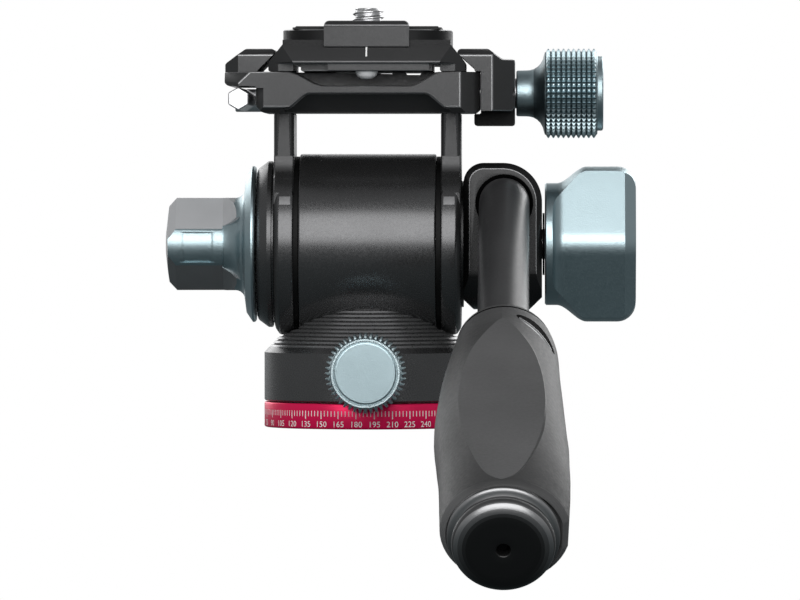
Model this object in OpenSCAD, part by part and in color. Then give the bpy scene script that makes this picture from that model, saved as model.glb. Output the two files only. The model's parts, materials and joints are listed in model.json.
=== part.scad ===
// Compact fluid video head: pan base, damped tilt drum between two arms,
// screw clamp with sliding dovetail plate, bent pan handle.
// Millimetres. Origin: centre of the underside of the base.
// +Z up, +X towards the pan handle's side, -Y towards the operator.

/* [Base] */
// Outer radius of the scale ring and pan housing
base_r = 20.8; // [20.6:0.1:20.9]
// Height of the scale ring
ring_h = 5.05; // [4.9:0.05:5.1]
// Top of the pan housing's straight wall
house_top = 16; // [15.9:0.1:16.1]
// Radius of the tripod thread, drawn as a plain bore
thread_r = 4.76; // [4.7:0.01:4.85]

/* [Tilt] */
// Height of the tilt axis
tilt_z = 36.5; // [36.4:0.1:36.6]
// Radius of the tilt drum
drum_r = 18; // [17.9:0.1:18]
// Half width of the tilt drum
drum_hw = 13.6; // [13.5:0.05:13.6]
// Inner face of a tilt arm
arm_in = 14.6; // [14.6:0.05:14.8]
// Outer face of a tilt arm
arm_out = 18.6; // [18.5:0.05:18.6]

/* [Clamp and plate] */
// Underside of the clamp base
clamp_z0 = 62.6; // [62.5:0.1:62.7]
// Deck of the clamp base
deck_z = 70.7; // [70.6:0.05:70.75]
// Half length of the clamp base along the dovetail
clamp_hy = 18; // [17:0.5:18.5]
// Half width of the plate's dovetail foot
plate_hw = 19.5; // [19.4:0.05:19.55]
// Half length of the plate
plate_hy = 21; // [20.5:0.5:22]
// Radius of the camera stud
stud_r = 3.17; // [3.1:0.01:3.17]

/* [Handle] */
// Slope of the handle below level
handle_slope = 28; // [26:1:30]
// Centre of the handle across the head
handle_x = 27.2; // [27:0.1:27.4]
// Height of the rod's socket
rod_z = 44.7; // [44.6:0.1:44.8]
// Radius of the handle rod
rod_r = 5; // [4.9:0.05:5]
// Straight rod between the elbow and the grip
rod_len = 54.2; // [54:0.1:58]
// Length of the grip's rubber sleeve
grip_len = 70; // [68:1:74]

/* [Hidden] */
$fn = 96;
black = "#1f2022";
satin = "#2b2c2e";
teal = "#9fb4bb";
steel = "#d0d2d4";
red = "#c21a41";
brass = "#b59a55";

function arc(cx, cy, r, a0, a1, n) =
    [for (i = [0:n]) let (a = a0 + (a1 - a0) * i / n) [cx + r * cos(a), cy + r * sin(a)]];

// Solids of revolution about Z, X and Y; points are [radius, position]
module zrev(p) { rotate_extrude() polygon(p); }
module xrev(p) { rotate([0, 90, 0]) rotate_extrude() polygon(p); }
module yrev(p) { rotate([-90, 0, 0]) rotate_extrude() polygon(p); }
// Rods along X, Y and Z
module xrod(r, x0, x1) { translate([x0, 0, 0]) rotate([0, 90, 0]) cylinder(r = r, h = x1 - x0); }
module yrod(r, y0, y1) { translate([0, y0, 0]) rotate([-90, 0, 0]) cylinder(r = r, h = y1 - y0); }
module zrod(r, z0, z1) { translate([0, 0, z0]) cylinder(r = r, h = z1 - z0); }
// Outline in X,Z pushed along Y; outline in Y,Z pushed along X
module along_y(y0, y1) { translate([0, y1, 0]) rotate([90, 0, 0]) linear_extrude(y1 - y0) children(); }
module along_x(x0, x1) { translate([x0, 0, 0]) rotate([90, 0, 90]) linear_extrude(x1 - x0) children(); }
// Rounded rectangle in plan, as a prism
module round_plan(hx, hy, r, z0, z1) {
    translate([0, 0, z0]) linear_extrude(z1 - z0)
        polygon(concat(arc(hx - r, hy - r, r, 0, 90, 8), arc(-hx + r, hy - r, r, 90, 180, 8),
                       arc(-hx + r, -hy + r, r, 180, 270, 8), arc(hx - r, -hy + r, r, 270, 360, 8)));
}

// ---- base -------------------------------------------------------------
screw_pcr = 10;
module base_plate() {
    color(black) difference() {
        zrev([[7.02, 0], [18.2, 0], [18.5, 0.3], [18.5, 4.9], [13, 4.9], [13, 6], [7.02, 6]]);
        for (a = [90, 210, 330]) rotate(a) translate([screw_pcr, 0, 0]) {
            zrod(1.55, -1, 7);
            translate([0, 0, -0.01]) cylinder(r1 = 3.2, r2 = 1.5, h = 1.7);
        }
        // shallow face groove under the plate
        difference() { zrod(17, -1, 0.4); zrod(14.5, -2, 1); }
    }
}
module scale_ring() {
    color(red) zrev([[18.55, 0], [base_r - 0.35, 0], [base_r, 0.35], [base_r, ring_h - 0.15], [base_r - 0.15, ring_h], [18.55, ring_h]]);
}
module thread_bush() {
    color(steel) difference() { zrod(6.97, 0, 9.8); zrod(thread_r, -1, 9); }
}
module pan_spindle() {
    color(steel) difference() {
        zrev([[0, 9.85], [7.02, 9.85], [7.02, 6.03], [13, 6.03], [13, 13.5], [6, 13.5], [6, 16.4], [4, 16.4], [4, 20], [3.6, 20.4], [0, 20.4]]);
        for (a = [90, 210, 330]) rotate(a) translate([screw_pcr, 0, 0]) zrod(1.5, 5, 11.5);
    }
}
module base_screws() {
    color(steel) for (a = [90, 210, 330]) rotate(a) translate([screw_pcr, 0, 0]) difference() {
        zrev([[0, 0.15], [2.9, 0.15], [1.45, 1.75], [1.45, 11], [0, 11]]);
        translate([0, 0, -1]) cylinder(r = 1.15, h = 2.2, $fn = 6);
    }
}
module glide_ring() { color("#e8e4d8") difference() { zrod(17.9, 4.93, 5.24); zrod(14, 4, 6); } }
module thrust_washer() { color(brass) difference() { zrod(6.9, 16.42, 16.98); zrod(4.05, 16, 18); } }
module pan_nut() {
    color(steel) difference() {
        zrod(6.8, 17, 19.4);
        zrod(4.03, 16, 20);
        for (a = [0, 90]) rotate(a) translate([-8, -0.9, 18.6]) cube([16, 1.8, 2]);
    }
}

// ---- pan body ---------------------------------------------------------
// Flared neck: outline through a few radii, cut into fine ribs
neck_n = 10;
neck_p = 0.76;
function neck_r(z) = 19.85 - 0.92 * (z - house_top);
neck = [for (i = [0:neck_n - 1]) let (z = house_top + 0.02 + i * neck_p)
        each [[neck_r(z) - 0.05, z + 0.02], [neck_r(z + 0.22) + 0.02, z + 0.14], [neck_r(z + 0.4), z + 0.4],
              [neck_r(z + 0.42) - 0.5, z + 0.52], [neck_r(z + 0.7) - 0.5, z + neck_p - 0.06]]];
module pan_housing() {
    color(black) difference() {
        zrev(concat([[6.03, 13.8], [13.4, 13.8], [13.4, 5.3], [base_r - 0.25, 5.3], [base_r, 5.55],
                     [base_r, 14.95], [19.85, house_top]], neck, [[7.2, 25], [7.2, 16.3], [6.03, 16.3]]));
        // seat of the drum, and room for the arms' discs
        translate([0, 0, tilt_z]) xrod(drum_r + 0.02, -30, 30);
        for (s = [-1, 1]) translate([0, 0, tilt_z]) xrod(18.7, s > 0 ? drum_hw - 0.1 : -30, s > 0 ? 30 : -drum_hw + 0.1);
        // lock screw's hole, and threads for the drum screws
        translate([0, 0, 11.3]) yrod(3.03, -22, -12);
        for (s = [-1, 1]) translate([s * 9.2, 0, 0]) zrod(1.25, 14.6, 22);
    }
}
module pan_brake_shoe() { color(brass) translate([0, 0, 11.3]) yrod(2.95, -15.4, -13.25); }
module tilt_drum() {
    color(black) difference() {
        translate([0, 0, tilt_z]) xrev([[14.5, -drum_hw], [drum_r - 0.35, -drum_hw], [drum_r, -drum_hw + 0.35],
                                         [drum_r, drum_hw - 0.35], [drum_r - 0.35, drum_hw], [14.5, drum_hw]]);
        zrod(7.2, 10, 24);
        for (s = [-1, 1]) translate([s * 9.2, 0, 0]) { zrod(1.3, 15, 24); zrod(2.2, 20.9, 26); }
    }
}
module drum_end_plates() {
    color(steel) translate([0, 0, tilt_z]) for (s = [-1, 1]) difference() {
        xrod(14.45, s > 0 ? 11.6 : -13.5, s > 0 ? 13.5 : -11.6);
        xrod(5.03, -20, 20);
    }
}
module damper_stators() {
    color(steel) translate([0, 0, tilt_z]) for (x = [-4.2, -1.4, 1.4, 4.2]) difference() {
        xrod(14.45, x - 0.5, x + 0.5);
        xrod(6.2, -20, 20);
    }
}
module drum_screws() {
    color(steel) for (s = [-1, 1]) translate([s * 9.2, 0, 0]) difference() {
        union() { zrod(1.22, 15, 21.5); zrod(2.1, 20.95, 22.9); }
        translate([0, 0, 21.7]) cylinder(r = 1.15, h = 3, $fn = 6);
    }
}

// ---- pan lock ---------------------------------------------------------
module pan_lock_knob() {
    color(teal) translate([0, 0, 11.3]) difference() {
        yrev([[0, -29.9], [5.85, -29.9], [6.1, -29.7], [6.1, -29.3], [6.4, -29.3], [6.65, -29.6], [6.85, -29.4],
              [6.95, -28.2], [7.9, -27.6], [7.9, -23.2], [7.2, -22.4], [4.4, -22.4], [4.4, -21.2], [0, -21.2]]);
        yrod(3.02, -27, -20);
    }
}
module pan_lock_screw() { color(steel) translate([0, 0, 11.3]) yrev([[0, -26.9], [3, -26.9], [3, -15.9], [2.6, -15.5], [0, -15.5]]); }

// ---- tilting yoke -----------------------------------------------------
// Arm outline: disc around the tilt axis and a bar with hollow shoulders
module arm_outline() {
    difference() {
        union() {
            circle(r = 18.1);
            translate([-10, 0]) square([20, clamp_z0 - tilt_z]);
            polygon([[-14.8, 9], [14.8, 9], [10, 17.5], [-10, 17.5]]);
        }
        for (s = [-1, 1]) translate([s * 15.05, 17.5]) circle(r = 5);
    }
}
// Disc-shaped chamfer tool and long chamfers on the bar
module arm(s) {
    x0 = s > 0 ? arm_in : -arm_out;
    difference() {
        intersection() {
            translate([0, 0, tilt_z]) along_x(x0, x0 + arm_out - arm_in) arm_outline();
            union() {
                translate([0, 0, tilt_z]) xrev(s > 0
                    ? [[0, arm_in], [17.8, arm_in], [18.1, arm_in + 0.3], [18.1, arm_out - 0.95], [16.7, arm_out], [0, arm_out]]
                    : [[0, -arm_out], [16.7, -arm_out], [18.1, -arm_out + 0.95], [18.1, -arm_in - 0.3], [17.8, -arm_in], [0, -arm_in]]);
                translate([0, 0, tilt_z + 12]) linear_extrude(20)
                    polygon([[x0, -9.2], [x0 + 0.8, -10], [x0 + arm_out - arm_in - 0.8, -10], [x0 + arm_out - arm_in, -9.2],
                             [x0 + arm_out - arm_in, 9.2], [x0 + arm_out - arm_in - 0.8, 10], [x0 + 0.8, 10], [x0, 9.2]]);
                translate([x0, -14.9, tilt_z + 8]) cube([arm_out - arm_in, 29.8, 9.6]);
            }
        }
        translate([0, 0, tilt_z]) xrod(5.02, -30, 30);
        for (y = [-5.5, 5.5]) translate([s * 16.6, y, 0]) zrod(1.25, clamp_z0 - 9, clamp_z0 + 1);
    }
}
module left_arm() { color(black) arm(-1); }
module right_arm() { color(black) arm(1); }
module tilt_axle() {
    color(steel) translate([0, 0, tilt_z]) difference() {
        xrod(5, -arm_out, arm_out);
        xrod(3.03, -arm_out - 1, -8);
        xrod(3.02, 8, arm_out + 1);
    }
}
module damper_rotors() {
    color(steel) translate([0, 0, tilt_z]) for (x = [-2.8, 0, 2.8]) difference() { xrod(12.5, x - 0.5, x + 0.5); xrod(5.02, -20, 20); }
}
module friction_rings() {
    color("#111111") translate([0, 0, tilt_z]) for (s = [-1, 1]) difference() {
        xrod(17.5, s > 0 ? drum_hw + 0.1 : -arm_in + 0.02, s > 0 ? arm_in - 0.02 : -drum_hw - 0.1);
        xrod(5.2, -20, 20);
    }
}
module drag_cap() {
    color(black) translate([0, 0, tilt_z]) xrev([[5.3, -18.65], [16, -18.65], [16, -18.95], [16.6, -19.15], [16.6, -19.9],
        [15.2, -21.8], [14.6, -22.1], [5.3, -22.1]]);
}
module handle_rosette() { color(satin) translate([0, 0, tilt_z]) difference() { xrod(12.6, 18.65, 19.05); xrod(3.3, 0, 30); } }
module handle_stud() { color(steel) translate([0, 0, tilt_z]) xrod(3, 8.1, 47.5); }

// ---- clamp ------------------------------------------------------------
// S-shaped run between two levels, as points
function scurve(x0, z0, x1, z1, n) = [for (i = [0:n]) let (t = i / n) [x0 + (x1 - x0) * t, z0 + (z1 - z0) * (t * t * (3 - 2 * t))]];
// Cut of size c off an upright corner at [x, y]
module corner_cut(x, y, c, z0, z1) { translate([x, y, z0]) rotate(45) translate([-c / sqrt(2), -c / sqrt(2), 0]) cube([c * sqrt(2), c * sqrt(2), z1 - z0]); }
module clamp_base() {
    cy = clamp_hy;
    color(black) difference() {
        union() {
            // deck body with the notch for the stored key, its corners cut off
            difference() {
                along_y(-cy, cy) polygon([[-21.9, clamp_z0 + 1.3], [-20.6, clamp_z0], [21.4, clamp_z0], [22.35, clamp_z0 + 0.8], [22.35, deck_z],
                                          [-28.2, deck_z], [-28.2, 68.5], [-27.5, 67.9], [-21.9, 67.9]]);
                for (s = [-1, 1]) {
                    corner_cut(-28.2, s * cy, 2.9, 60, 80);
                    corner_cut(22.35, s * cy, 3.85, 60, 80);
                    corner_cut(-21.9, s * cy, 1.5, 60, 67.5);
                    translate([-24.9, s * cy, 68.9]) rotate([0, -35, s > 0 ? 132 : 228]) translate([0, -12, -12]) cube([12, 24, 24]);
                    translate([-35, s * cy, clamp_z0]) rotate([45, 0, 0]) translate([0, -0.81, -0.81]) cube([70, 1.62, 1.62]);
                }
            }
            // fixed jaw with its undercut
            difference() {
                along_y(-cy + 2.5, cy - 2.5) polygon([[-28.15, deck_z - 0.5], [-21.8, deck_z - 0.5], [-21.8, 70.9], [-18.2, 74.5], [-18.2, 74.8],
                                      [-18.7, 75.3], [-24, 75.3], [-28.05, 72.4], [-28.15, 72.1]]);
                for (s = [-1, 1]) {
                    corner_cut(-28.2, s * (cy - 2.5), 2.7, 60, 80);
                    translate([-35, s * (cy - 2.5), 75.3]) rotate([45, 0, 0]) translate([0, -0.85, -0.85]) cube([20, 1.7, 1.7]);
                }
            }
        }
        // hollow in the deck at each end, with the middle wall a little lower
        for (s = [-1, 1]) along_y(s > 0 ? 7.5 : -cy - 1, s > 0 ? cy + 1 : -7.5)
            polygon(concat([[-15.9, deck_z + 1]], scurve(-15.9, deck_z + 0.01, -8.4, 67.9, 10), scurve(8.4, 67.9, 15, deck_z + 0.01, 10), [[15, deck_z + 1]]));
        translate([-6.3, -cy - 1, 70.4]) cube([11.2, 2 * cy + 2, 3]);
        translate([7.6, -cy - 1, 70.2]) cube([3, 2 * cy + 2, 3]);
        // hollow below each end
        for (s = [-1, 1]) along_y(s > 0 ? cy - 3.2 : -cy - 1, s > 0 ? cy + 1 : -cy + 3.2)
            polygon(concat([[-16.3, clamp_z0 - 1]], scurve(-16.3, clamp_z0 + 0.8, -11.2, 66.45, 10), scurve(11.4, 66.45, 16.5, clamp_z0 + 0.8, 10), [[16.5, clamp_z0 - 1]]));
        // thread of the clamp screw, guide pins, arm screws
        translate([0, 0, 66.6]) xrod(3.03, -3, 30);
        for (y = [-10, 10]) translate([0, y, 66.6]) xrod(1.52, 11, 30);
        for (x = [-16.6, 16.6], y = [-5.5, 5.5]) translate([x, y, 0]) { zrod(1.3, 60, 72); zrod(2.2, 68.2, 74); }
    }
}
module arm_screws() {
    color(steel) for (x = [-16.6, 16.6], y = [-5.5, 5.5]) translate([x, y, 0]) difference() {
        union() { zrod(1.22, clamp_z0 - 8, 68.5); zrod(2.1, 68.25, 70.3); }
        translate([0, 0, 69.2]) cylinder(r = 1.15, h = 3, $fn = 6);
    }
}
module jaw_guide_pins() { color(steel) for (y = [-10, 10]) translate([0, y, 66.6]) xrod(1.5, 11.1, 28); }
module moving_jaw() {
    cy = clamp_hy - 2.5;
    color(black) difference() {
        union() {
            along_y(-cy, cy) polygon([[22.5, 63], [28.6, 63], [29.3, 63.7], [29.3, 73], [29.1, 73.2], [26.8, 73.3], [24, 75.3], [18.7, 75.3],
                                      [18.2, 74.8], [18.2, 74.5], [21.3, 71.4], [21.3, 70.85], [22.5, 70.85]]);
            along_y(-7, 7) polygon([[21.2, 60.4], [21.5, 60.1], [29, 60.1], [29.3, 60.4], [29.3, 63.8], [22.5, 63.8], [22.5, 62.45], [21.2, 62.45]]);
        }
        for (s = [-1, 1]) {
            translate([29.4, s * cy, 58]) rotate(45) translate([-3.2, -3.2, 0]) cube([6.4, 6.4, 20]);
            translate([15, s * cy, 75.3]) rotate([45, 0, 0]) translate([0, -0.9, -0.9]) cube([16, 1.8, 1.8]);
        }
        translate([0, 0, 66.6]) xrod(3.04, 15, 35);
        for (y = [-10, 10]) translate([0, y, 66.6]) xrod(1.54, 15, 35);
    }
}
module clamp_knob() {
    color(teal) translate([0, 0, 66.6]) difference() {
        xrev(concat([[0, 29.55], [4.4, 29.55], [4.6, 29.75]], [[4.6, 31.8]], arc(8.3, 31.8, 3.7, 180, 105, 6) ,
             [[8.5, 35.3], [8.9, 35.7], [8.9, 45.3], [8.5, 45.7], [7.4, 45.7], [7.4, 46.6], [7.1, 46.9], [0, 46.9]]));
        xrod(3.02, 28, 42);
    }
}
module clamp_screw() { color(steel) translate([0, 0, 66.6]) xrev([[0, 0], [2.6, 0], [3, 0.4], [3, 41.9], [0, 41.9]]); }

// ---- tilt lock knob ---------------------------------------------------
module tilt_lock_knob() {
    color(teal) translate([0, 0, tilt_z]) rotate([6, 0, 0]) difference() {
        xrev(concat([[0, -22.4], [15.3, -22.4], [15.6, -22.7], [15.6, -23.1], [13.8, -24.3], [11.3, -24.65]],
             [for (p = arc(-26.6, 11.2, 1.95, 0, -88, 6)) [p[1], p[0]]], [[9.28, -38.3], [7.6, -39.8], [2.4, -40.45], [0, -40.45]]));
        // four flats with an end chamfer; they run out before the flange
        for (k = [0:3]) rotate([90 * k + 45, 0, 0]) along_y(-16, 16)
            polygon([[-45, 20], [-45, 3.2], [-38.4, 6.6], [-29, 6.6], [-28.2, 7.2], [-27.3, 7.95], [-26.1, 9.4], [-25.1, 11.6], [-24.4, 14], [-24, 16.3], [-24, 20]]);
        // rounded faces at the front and back, each with a shallow pocket
        for (s = [-1, 1]) {
            difference() {
                along_x(-42, -23) polygon([[s * 1, 0], [s * 20, 19], [s * 20, -19]]);
                xrev([[0, -43], [6.75, -43], [6.75, -29.05], [6.5, -29], [6.5, -28.8], [6.75, -28.7], [7, -28], [7.6, -27], [8.6, -26], [10, -25.2], [12.5, -24.9], [18, -24.6], [18, -20], [0, -20]]);
            }
            intersection() {
                xrev([[6.35, -36.4], [6.35, -31.6], [7.2, -29.2], [12, -29.2], [12, -38.8], [7.2, -38.8]]);
                translate([-40, s > 0 ? 3 : -15, -3.05]) cube([12, 12, 6.1]);
            }
        }
        xrod(3.02, -32, -20);
    }
}
module tilt_lock_screw() { color(steel) translate([0, 0, tilt_z]) xrod(3, -31.9, -9.5); }

// ---- pan handle -------------------------------------------------------
bend_r = 13;
module handle_frame() { translate([handle_x, -13 - bend_r * sin(handle_slope), rod_z - bend_r * (1 - cos(handle_slope))]) rotate([90 + handle_slope, 0, 0]) children(); }
module handle_bracket() {
    color(satin) difference() {
        intersection() {
            along_y(-12, 12) polygon(concat([[21.1, 23.5], [32.2, 23.5], [34.7, 26]], arc(26.9, 44.9, 7.8, 0, 90, 12), arc(23.1, 48.7, 4, 90, 180, 8), [[19.1, 25.5]]));
            translate([0, 0, tilt_z]) along_x(10, 40) polygon(concat([[-12, 16.3]], arc(-4, -5, 8, 180, 270, 10), arc(4, -5, 8, 270, 360, 10), [[12, 16.3]]));
        }
        translate([handle_x, 0, rod_z]) { yrod(rod_r + 0.05, -20, 8); yrev([[0, -13], [6.1, -13], [5, -11.4], [0, -11.4]]); }
        translate([0, 0, tilt_z]) xrod(3.03, 10, 40);
        translate([handle_x, 2, 0]) zrod(1.5, rod_z, 60);
    }
}
module handle_rod() {
    // the straight runs are a hair thinner than the elbow and reach into its ends
    straight_r = rod_r - 0.03;
    color(black) {
        translate([handle_x, 0, rod_z]) yrod(straight_r, -13.5, 7.8);
        translate([handle_x, -13, rod_z - bend_r]) rotate([0, -90, 180]) rotate_extrude(angle = handle_slope) translate([bend_r, 0]) circle(r = rod_r);
        handle_frame() zrod(straight_r, -0.5, rod_len + grip_len - 1.5);
    }
}
module rod_set_screw() {
    color(steel) translate([handle_x, 2, 0]) difference() { zrod(1.47, rod_z + rod_r + 0.03, 52.4); translate([0, 0, 51]) cylinder(r = 0.85, h = 3, $fn = 6); }
}
module handle_grip() {
    color(satin) handle_frame() difference() {
        translate([0, 0, rod_len]) zrev([[rod_r + 0.05, 0], [8.6, 0], [9.2, 0.6], [10.9, 7], [12.1, 22], [12.5, 37], [12.4, 55], [11.8, grip_len], [10.9, grip_len + 3.2],
                                         [1.3, grip_len + 3.2], [1.3, grip_len - 1.4], [rod_r + 0.05, grip_len - 1.4]]);
        // long shallow thumb flat along the top
        translate([0, 257.8, rod_len + 38]) xrod(248.6, -20, 20);
    }
}
module grip_end_cap() {
    color(black) handle_frame() translate([0, 0, rod_len + grip_len + 3.25]) difference() {
        zrev([[0, 0], [10.7, 0], [10.9, 0.2], [10.9, 0.5], [10.3, 1.1], [9.7, 1.1], [9.6, 1.8], [9.2, 2.4], [8.4, 3.2], [6.4, 3.9], [0, 3.9]]);
        zrod(1.25, -1, 8);
    }
}
module grip_screw() { color(steel) handle_frame() translate([0, 0, rod_len + grip_len]) zrod(1.2, -1.3, 5.4); }
module handle_lock_knob() {
    color(teal) translate([0, 0, tilt_z]) difference() {
        xrev(concat([[0, 35.25], [11.9, 35.25], [12.2, 35.55], [12.2, 37.4]], [for (p = scurve(37.6, 12.25, 43.6, 15.5, 10)) [p[1], p[0]]],
             [for (p = arc(49.7, 11.8, 3.7, 90, 0, 8)) [p[1], p[0]]], [[0, 53.4]]));
        // four flats, each with a chamfer at its outer end and a cove at the flange
        for (t = [68.5, 111.5, -68.5, -111.5]) rotate([t, 0, 0]) along_y(-20, 20)
            polygon(concat([[56, 20], [56, 6.12], [51.2, 10.15], [39.3, 10.15]], arc(39.3, 12.75, 2.6, -90, -176, 8), [[36.6, 20]]));
        xrod(3.04, 30, 48.2);
    }
}
module handle_knob_washer() { color(black) translate([0, 0, tilt_z]) difference() { xrod(6.2, 34.8, 35.2); xrod(3.05, 30, 40); } }

// ---- dovetail plate ---------------------------------------------------
module dovetail_plate() {
    py = plate_hy;
    hw = plate_hw;
    color(black) difference() {
        union() {
            intersection() {
                along_y(-py, py) polygon([[-hw, 70.85], [hw, 70.85], [hw, 72.6], [hw - 2.9, 76.1], [hw - 2.9, 77], [-hw + 2.9, 77], [-hw + 2.9, 76.1], [-hw, 72.6]]);
                along_x(-hw, hw) polygon([[-py + 0.7, 70.8], [py - 0.7, 70.8], [py - 0.7, 72.3], [py, 72.45], [py, 72.65], [py - 2.4, 76.1], [py - 2.4, 77], [-py + 2.4, 77], [-py + 2.4, 76.1], [-py, 72.65], [-py, 72.45], [-py + 0.7, 72.3]]);
                translate([0, 0, 70]) linear_extrude(10) polygon([[-14.5, -py], [14.5, -py], [hw + 0.3, -py + 5.3], [hw + 0.3, py - 5.3], [14.5, py], [-14.5, py], [-hw - 0.3, py - 5.3], [-hw - 0.3, -py + 5.3]]);
            }
            round_plan(hw - 2.7, py - 2.4, 11, 76, 79.1);
            // raised lip at the operator's end
            along_y(-py + 1.6, -py + 5.4) polygon(concat([[-8.4, 75.6], [8.4, 75.6]], arc(7.4, 79.8, 1, 0, 90, 5), arc(-7.4, 79.8, 1, 90, 180, 5)));
        }
        // underside: two through grooves
        for (s = [-1, 1]) translate([s * 13.75 - 0.75, -30, 70]) cube([1.5, 60, 2.3]);
        // front and back of the foot set back beside a middle bar
        for (s = [-1, 1]) {
            translate([-20, s > 0 ? py - 3 : -py - 1, 70]) cube([12.4, 4, 2.35]);
            translate([12.4, s > 0 ? py - 3 : -py - 1, 70]) cube([8, 4, 2.35]);
        }
        // upper edge of the lip
        translate([-12, -py + 1.6, 80.8]) rotate([45, 0, 0]) translate([0, -0.64, -0.64]) cube([24, 1.28, 1.28]);
        // camera screw's stepped slot, stop screws' threads
        zrod(stud_r + 0.15, 69, 82);
        zrod(6.2, 69, 76.2);
        for (s = [-1, 1]) translate([0, s * (py - 4), 0]) zrod(1.25, 70, 75);
    }
}
module plate_pad() {
    color("#171717") difference() {
        intersection() { round_plan(14.8, plate_hy - 3.4, 5, 79.12, 79.55); translate([-20, -plate_hy + 5.6, 79]) cube([40, 60, 2]); }
        zrod(7, 78, 81);
    }
}
module plate_stop_screws() {
    color(steel) for (s = [-1, 1]) translate([0, s * (plate_hy - 4), 0])
        zrev([[0, 69.2], [1.1, 69.35], [1.9, 69.9], [2.2, 70.5], [2.2, 70.82], [1.22, 70.82], [1.22, 74.6], [0, 74.6]]);
}
// Captive screw: the shank below the thread is undercut
module camera_screw() {
    color(steel) difference() {
        zrev([[0, 71.4], [5.4, 71.4], [5.9, 71.9], [5.9, 75.9], [2.55, 75.9], [2.55, 79.5], [stud_r, 79.5], [stud_r, 83.1], [stud_r - 0.45, 83.6], [0, 83.6]]);
        translate([-7, -0.9, 71]) cube([14, 1.8, 1.9]);
    }
}

// ---- stored key -------------------------------------------------------
module hex_key() {
    color(steel) union() {
        translate([-25.4, -clamp_hy + 0.6, 65.4]) rotate([-90, 30, 0]) cylinder(r = 2.31, h = 2 * clamp_hy + 4, $fn = 6);
        translate([-25.4, clamp_hy + 2.6, 65.4]) rotate([0, 90, 0]) translate([0, 0, -2]) cylinder(r = 2.31, h = 16, $fn = 6);
    }
}

base_plate();
scale_ring();
thread_bush();
pan_spindle();
base_screws();
glide_ring();
thrust_washer();
pan_nut();
pan_housing();
pan_brake_shoe();
tilt_drum();
drum_end_plates();
damper_stators();
drum_screws();
pan_lock_knob();
pan_lock_screw();
left_arm();
right_arm();
tilt_axle();
damper_rotors();
friction_rings();
drag_cap();
handle_rosette();
handle_stud();
clamp_base();
arm_screws();
jaw_guide_pins();
tilt_lock_knob();
tilt_lock_screw();
handle_bracket();
handle_rod();
rod_set_screw();
handle_grip();
grip_end_cap();
grip_screw();
handle_lock_knob();
handle_knob_washer();
moving_jaw();
clamp_knob();
clamp_screw();
dovetail_plate();
plate_pad();
plate_stop_screws();
camera_screw();
hex_key();
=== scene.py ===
import json
import math
import bpy
import bmesh
from mathutils import Vector, Matrix

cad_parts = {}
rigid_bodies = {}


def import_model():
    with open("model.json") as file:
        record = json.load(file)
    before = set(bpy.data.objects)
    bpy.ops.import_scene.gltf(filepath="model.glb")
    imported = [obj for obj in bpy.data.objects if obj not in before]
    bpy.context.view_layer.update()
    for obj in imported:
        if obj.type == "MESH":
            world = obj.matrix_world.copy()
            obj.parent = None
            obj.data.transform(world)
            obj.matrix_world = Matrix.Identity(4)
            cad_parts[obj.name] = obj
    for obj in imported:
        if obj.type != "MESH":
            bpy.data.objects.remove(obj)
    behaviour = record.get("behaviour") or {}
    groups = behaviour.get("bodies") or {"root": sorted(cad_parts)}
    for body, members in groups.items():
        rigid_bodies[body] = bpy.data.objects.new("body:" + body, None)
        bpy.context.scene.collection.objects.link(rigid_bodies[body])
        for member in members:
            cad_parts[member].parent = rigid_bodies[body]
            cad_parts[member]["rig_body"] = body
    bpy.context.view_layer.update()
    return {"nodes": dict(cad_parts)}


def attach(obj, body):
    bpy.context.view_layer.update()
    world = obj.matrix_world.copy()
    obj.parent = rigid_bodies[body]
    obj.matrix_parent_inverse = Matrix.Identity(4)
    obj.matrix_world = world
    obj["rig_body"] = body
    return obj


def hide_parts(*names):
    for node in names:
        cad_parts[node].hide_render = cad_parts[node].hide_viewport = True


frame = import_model()
nodes = frame["nodes"]
scene = bpy.context.scene
MM = 0.001
TILT_Z = 36.5
HANDLE_SLOPE = math.radians(28.0)
HANDLE_X = 27.2
ROD_Z = 44.7
ROD_LEN = 54.2
GRIP_LEN = 70.0
RING_R = 20.8
BEND_R = 13.0
HO_S = ((13.0 + BEND_R * math.sin(HANDLE_SLOPE)) * math.cos(HANDLE_SLOPE)
        - (ROD_Z - BEND_R * (1 - math.cos(HANDLE_SLOPE))) * math.sin(HANDLE_SLOPE)) * MM
HO_UP = ((13.0 + BEND_R * math.sin(HANDLE_SLOPE)) * math.sin(HANDLE_SLOPE)
         + (ROD_Z - BEND_R * (1 - math.cos(HANDLE_SLOPE))) * math.cos(HANDLE_SLOPE)) * MM

# ------------------------------------------------------------------ camera
W, H = 800, 600
AIM = Vector((6.3, 0.0, 25.3)) * MM
DIST = 1.6
CAM_AZ, CAM_EL = math.radians(1.0), math.radians(0.85)
back = Vector((math.sin(CAM_AZ) * math.cos(CAM_EL), -math.cos(CAM_AZ) * math.cos(CAM_EL), math.sin(CAM_EL)))
cam_data = bpy.data.cameras.new("camera")
cam = bpy.data.objects.new("camera", cam_data)
scene.collection.objects.link(cam)
cam.location = AIM + back * DIST
cam.rotation_mode = "QUATERNION"
cam.rotation_quaternion = (-back).to_track_quat("-Z", "Y")
cam_data.sensor_width = 36.0
cam_data.lens = 360.0
cam_data.clip_start, cam_data.clip_end = 0.05, 60.0
scene.camera = cam


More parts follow.
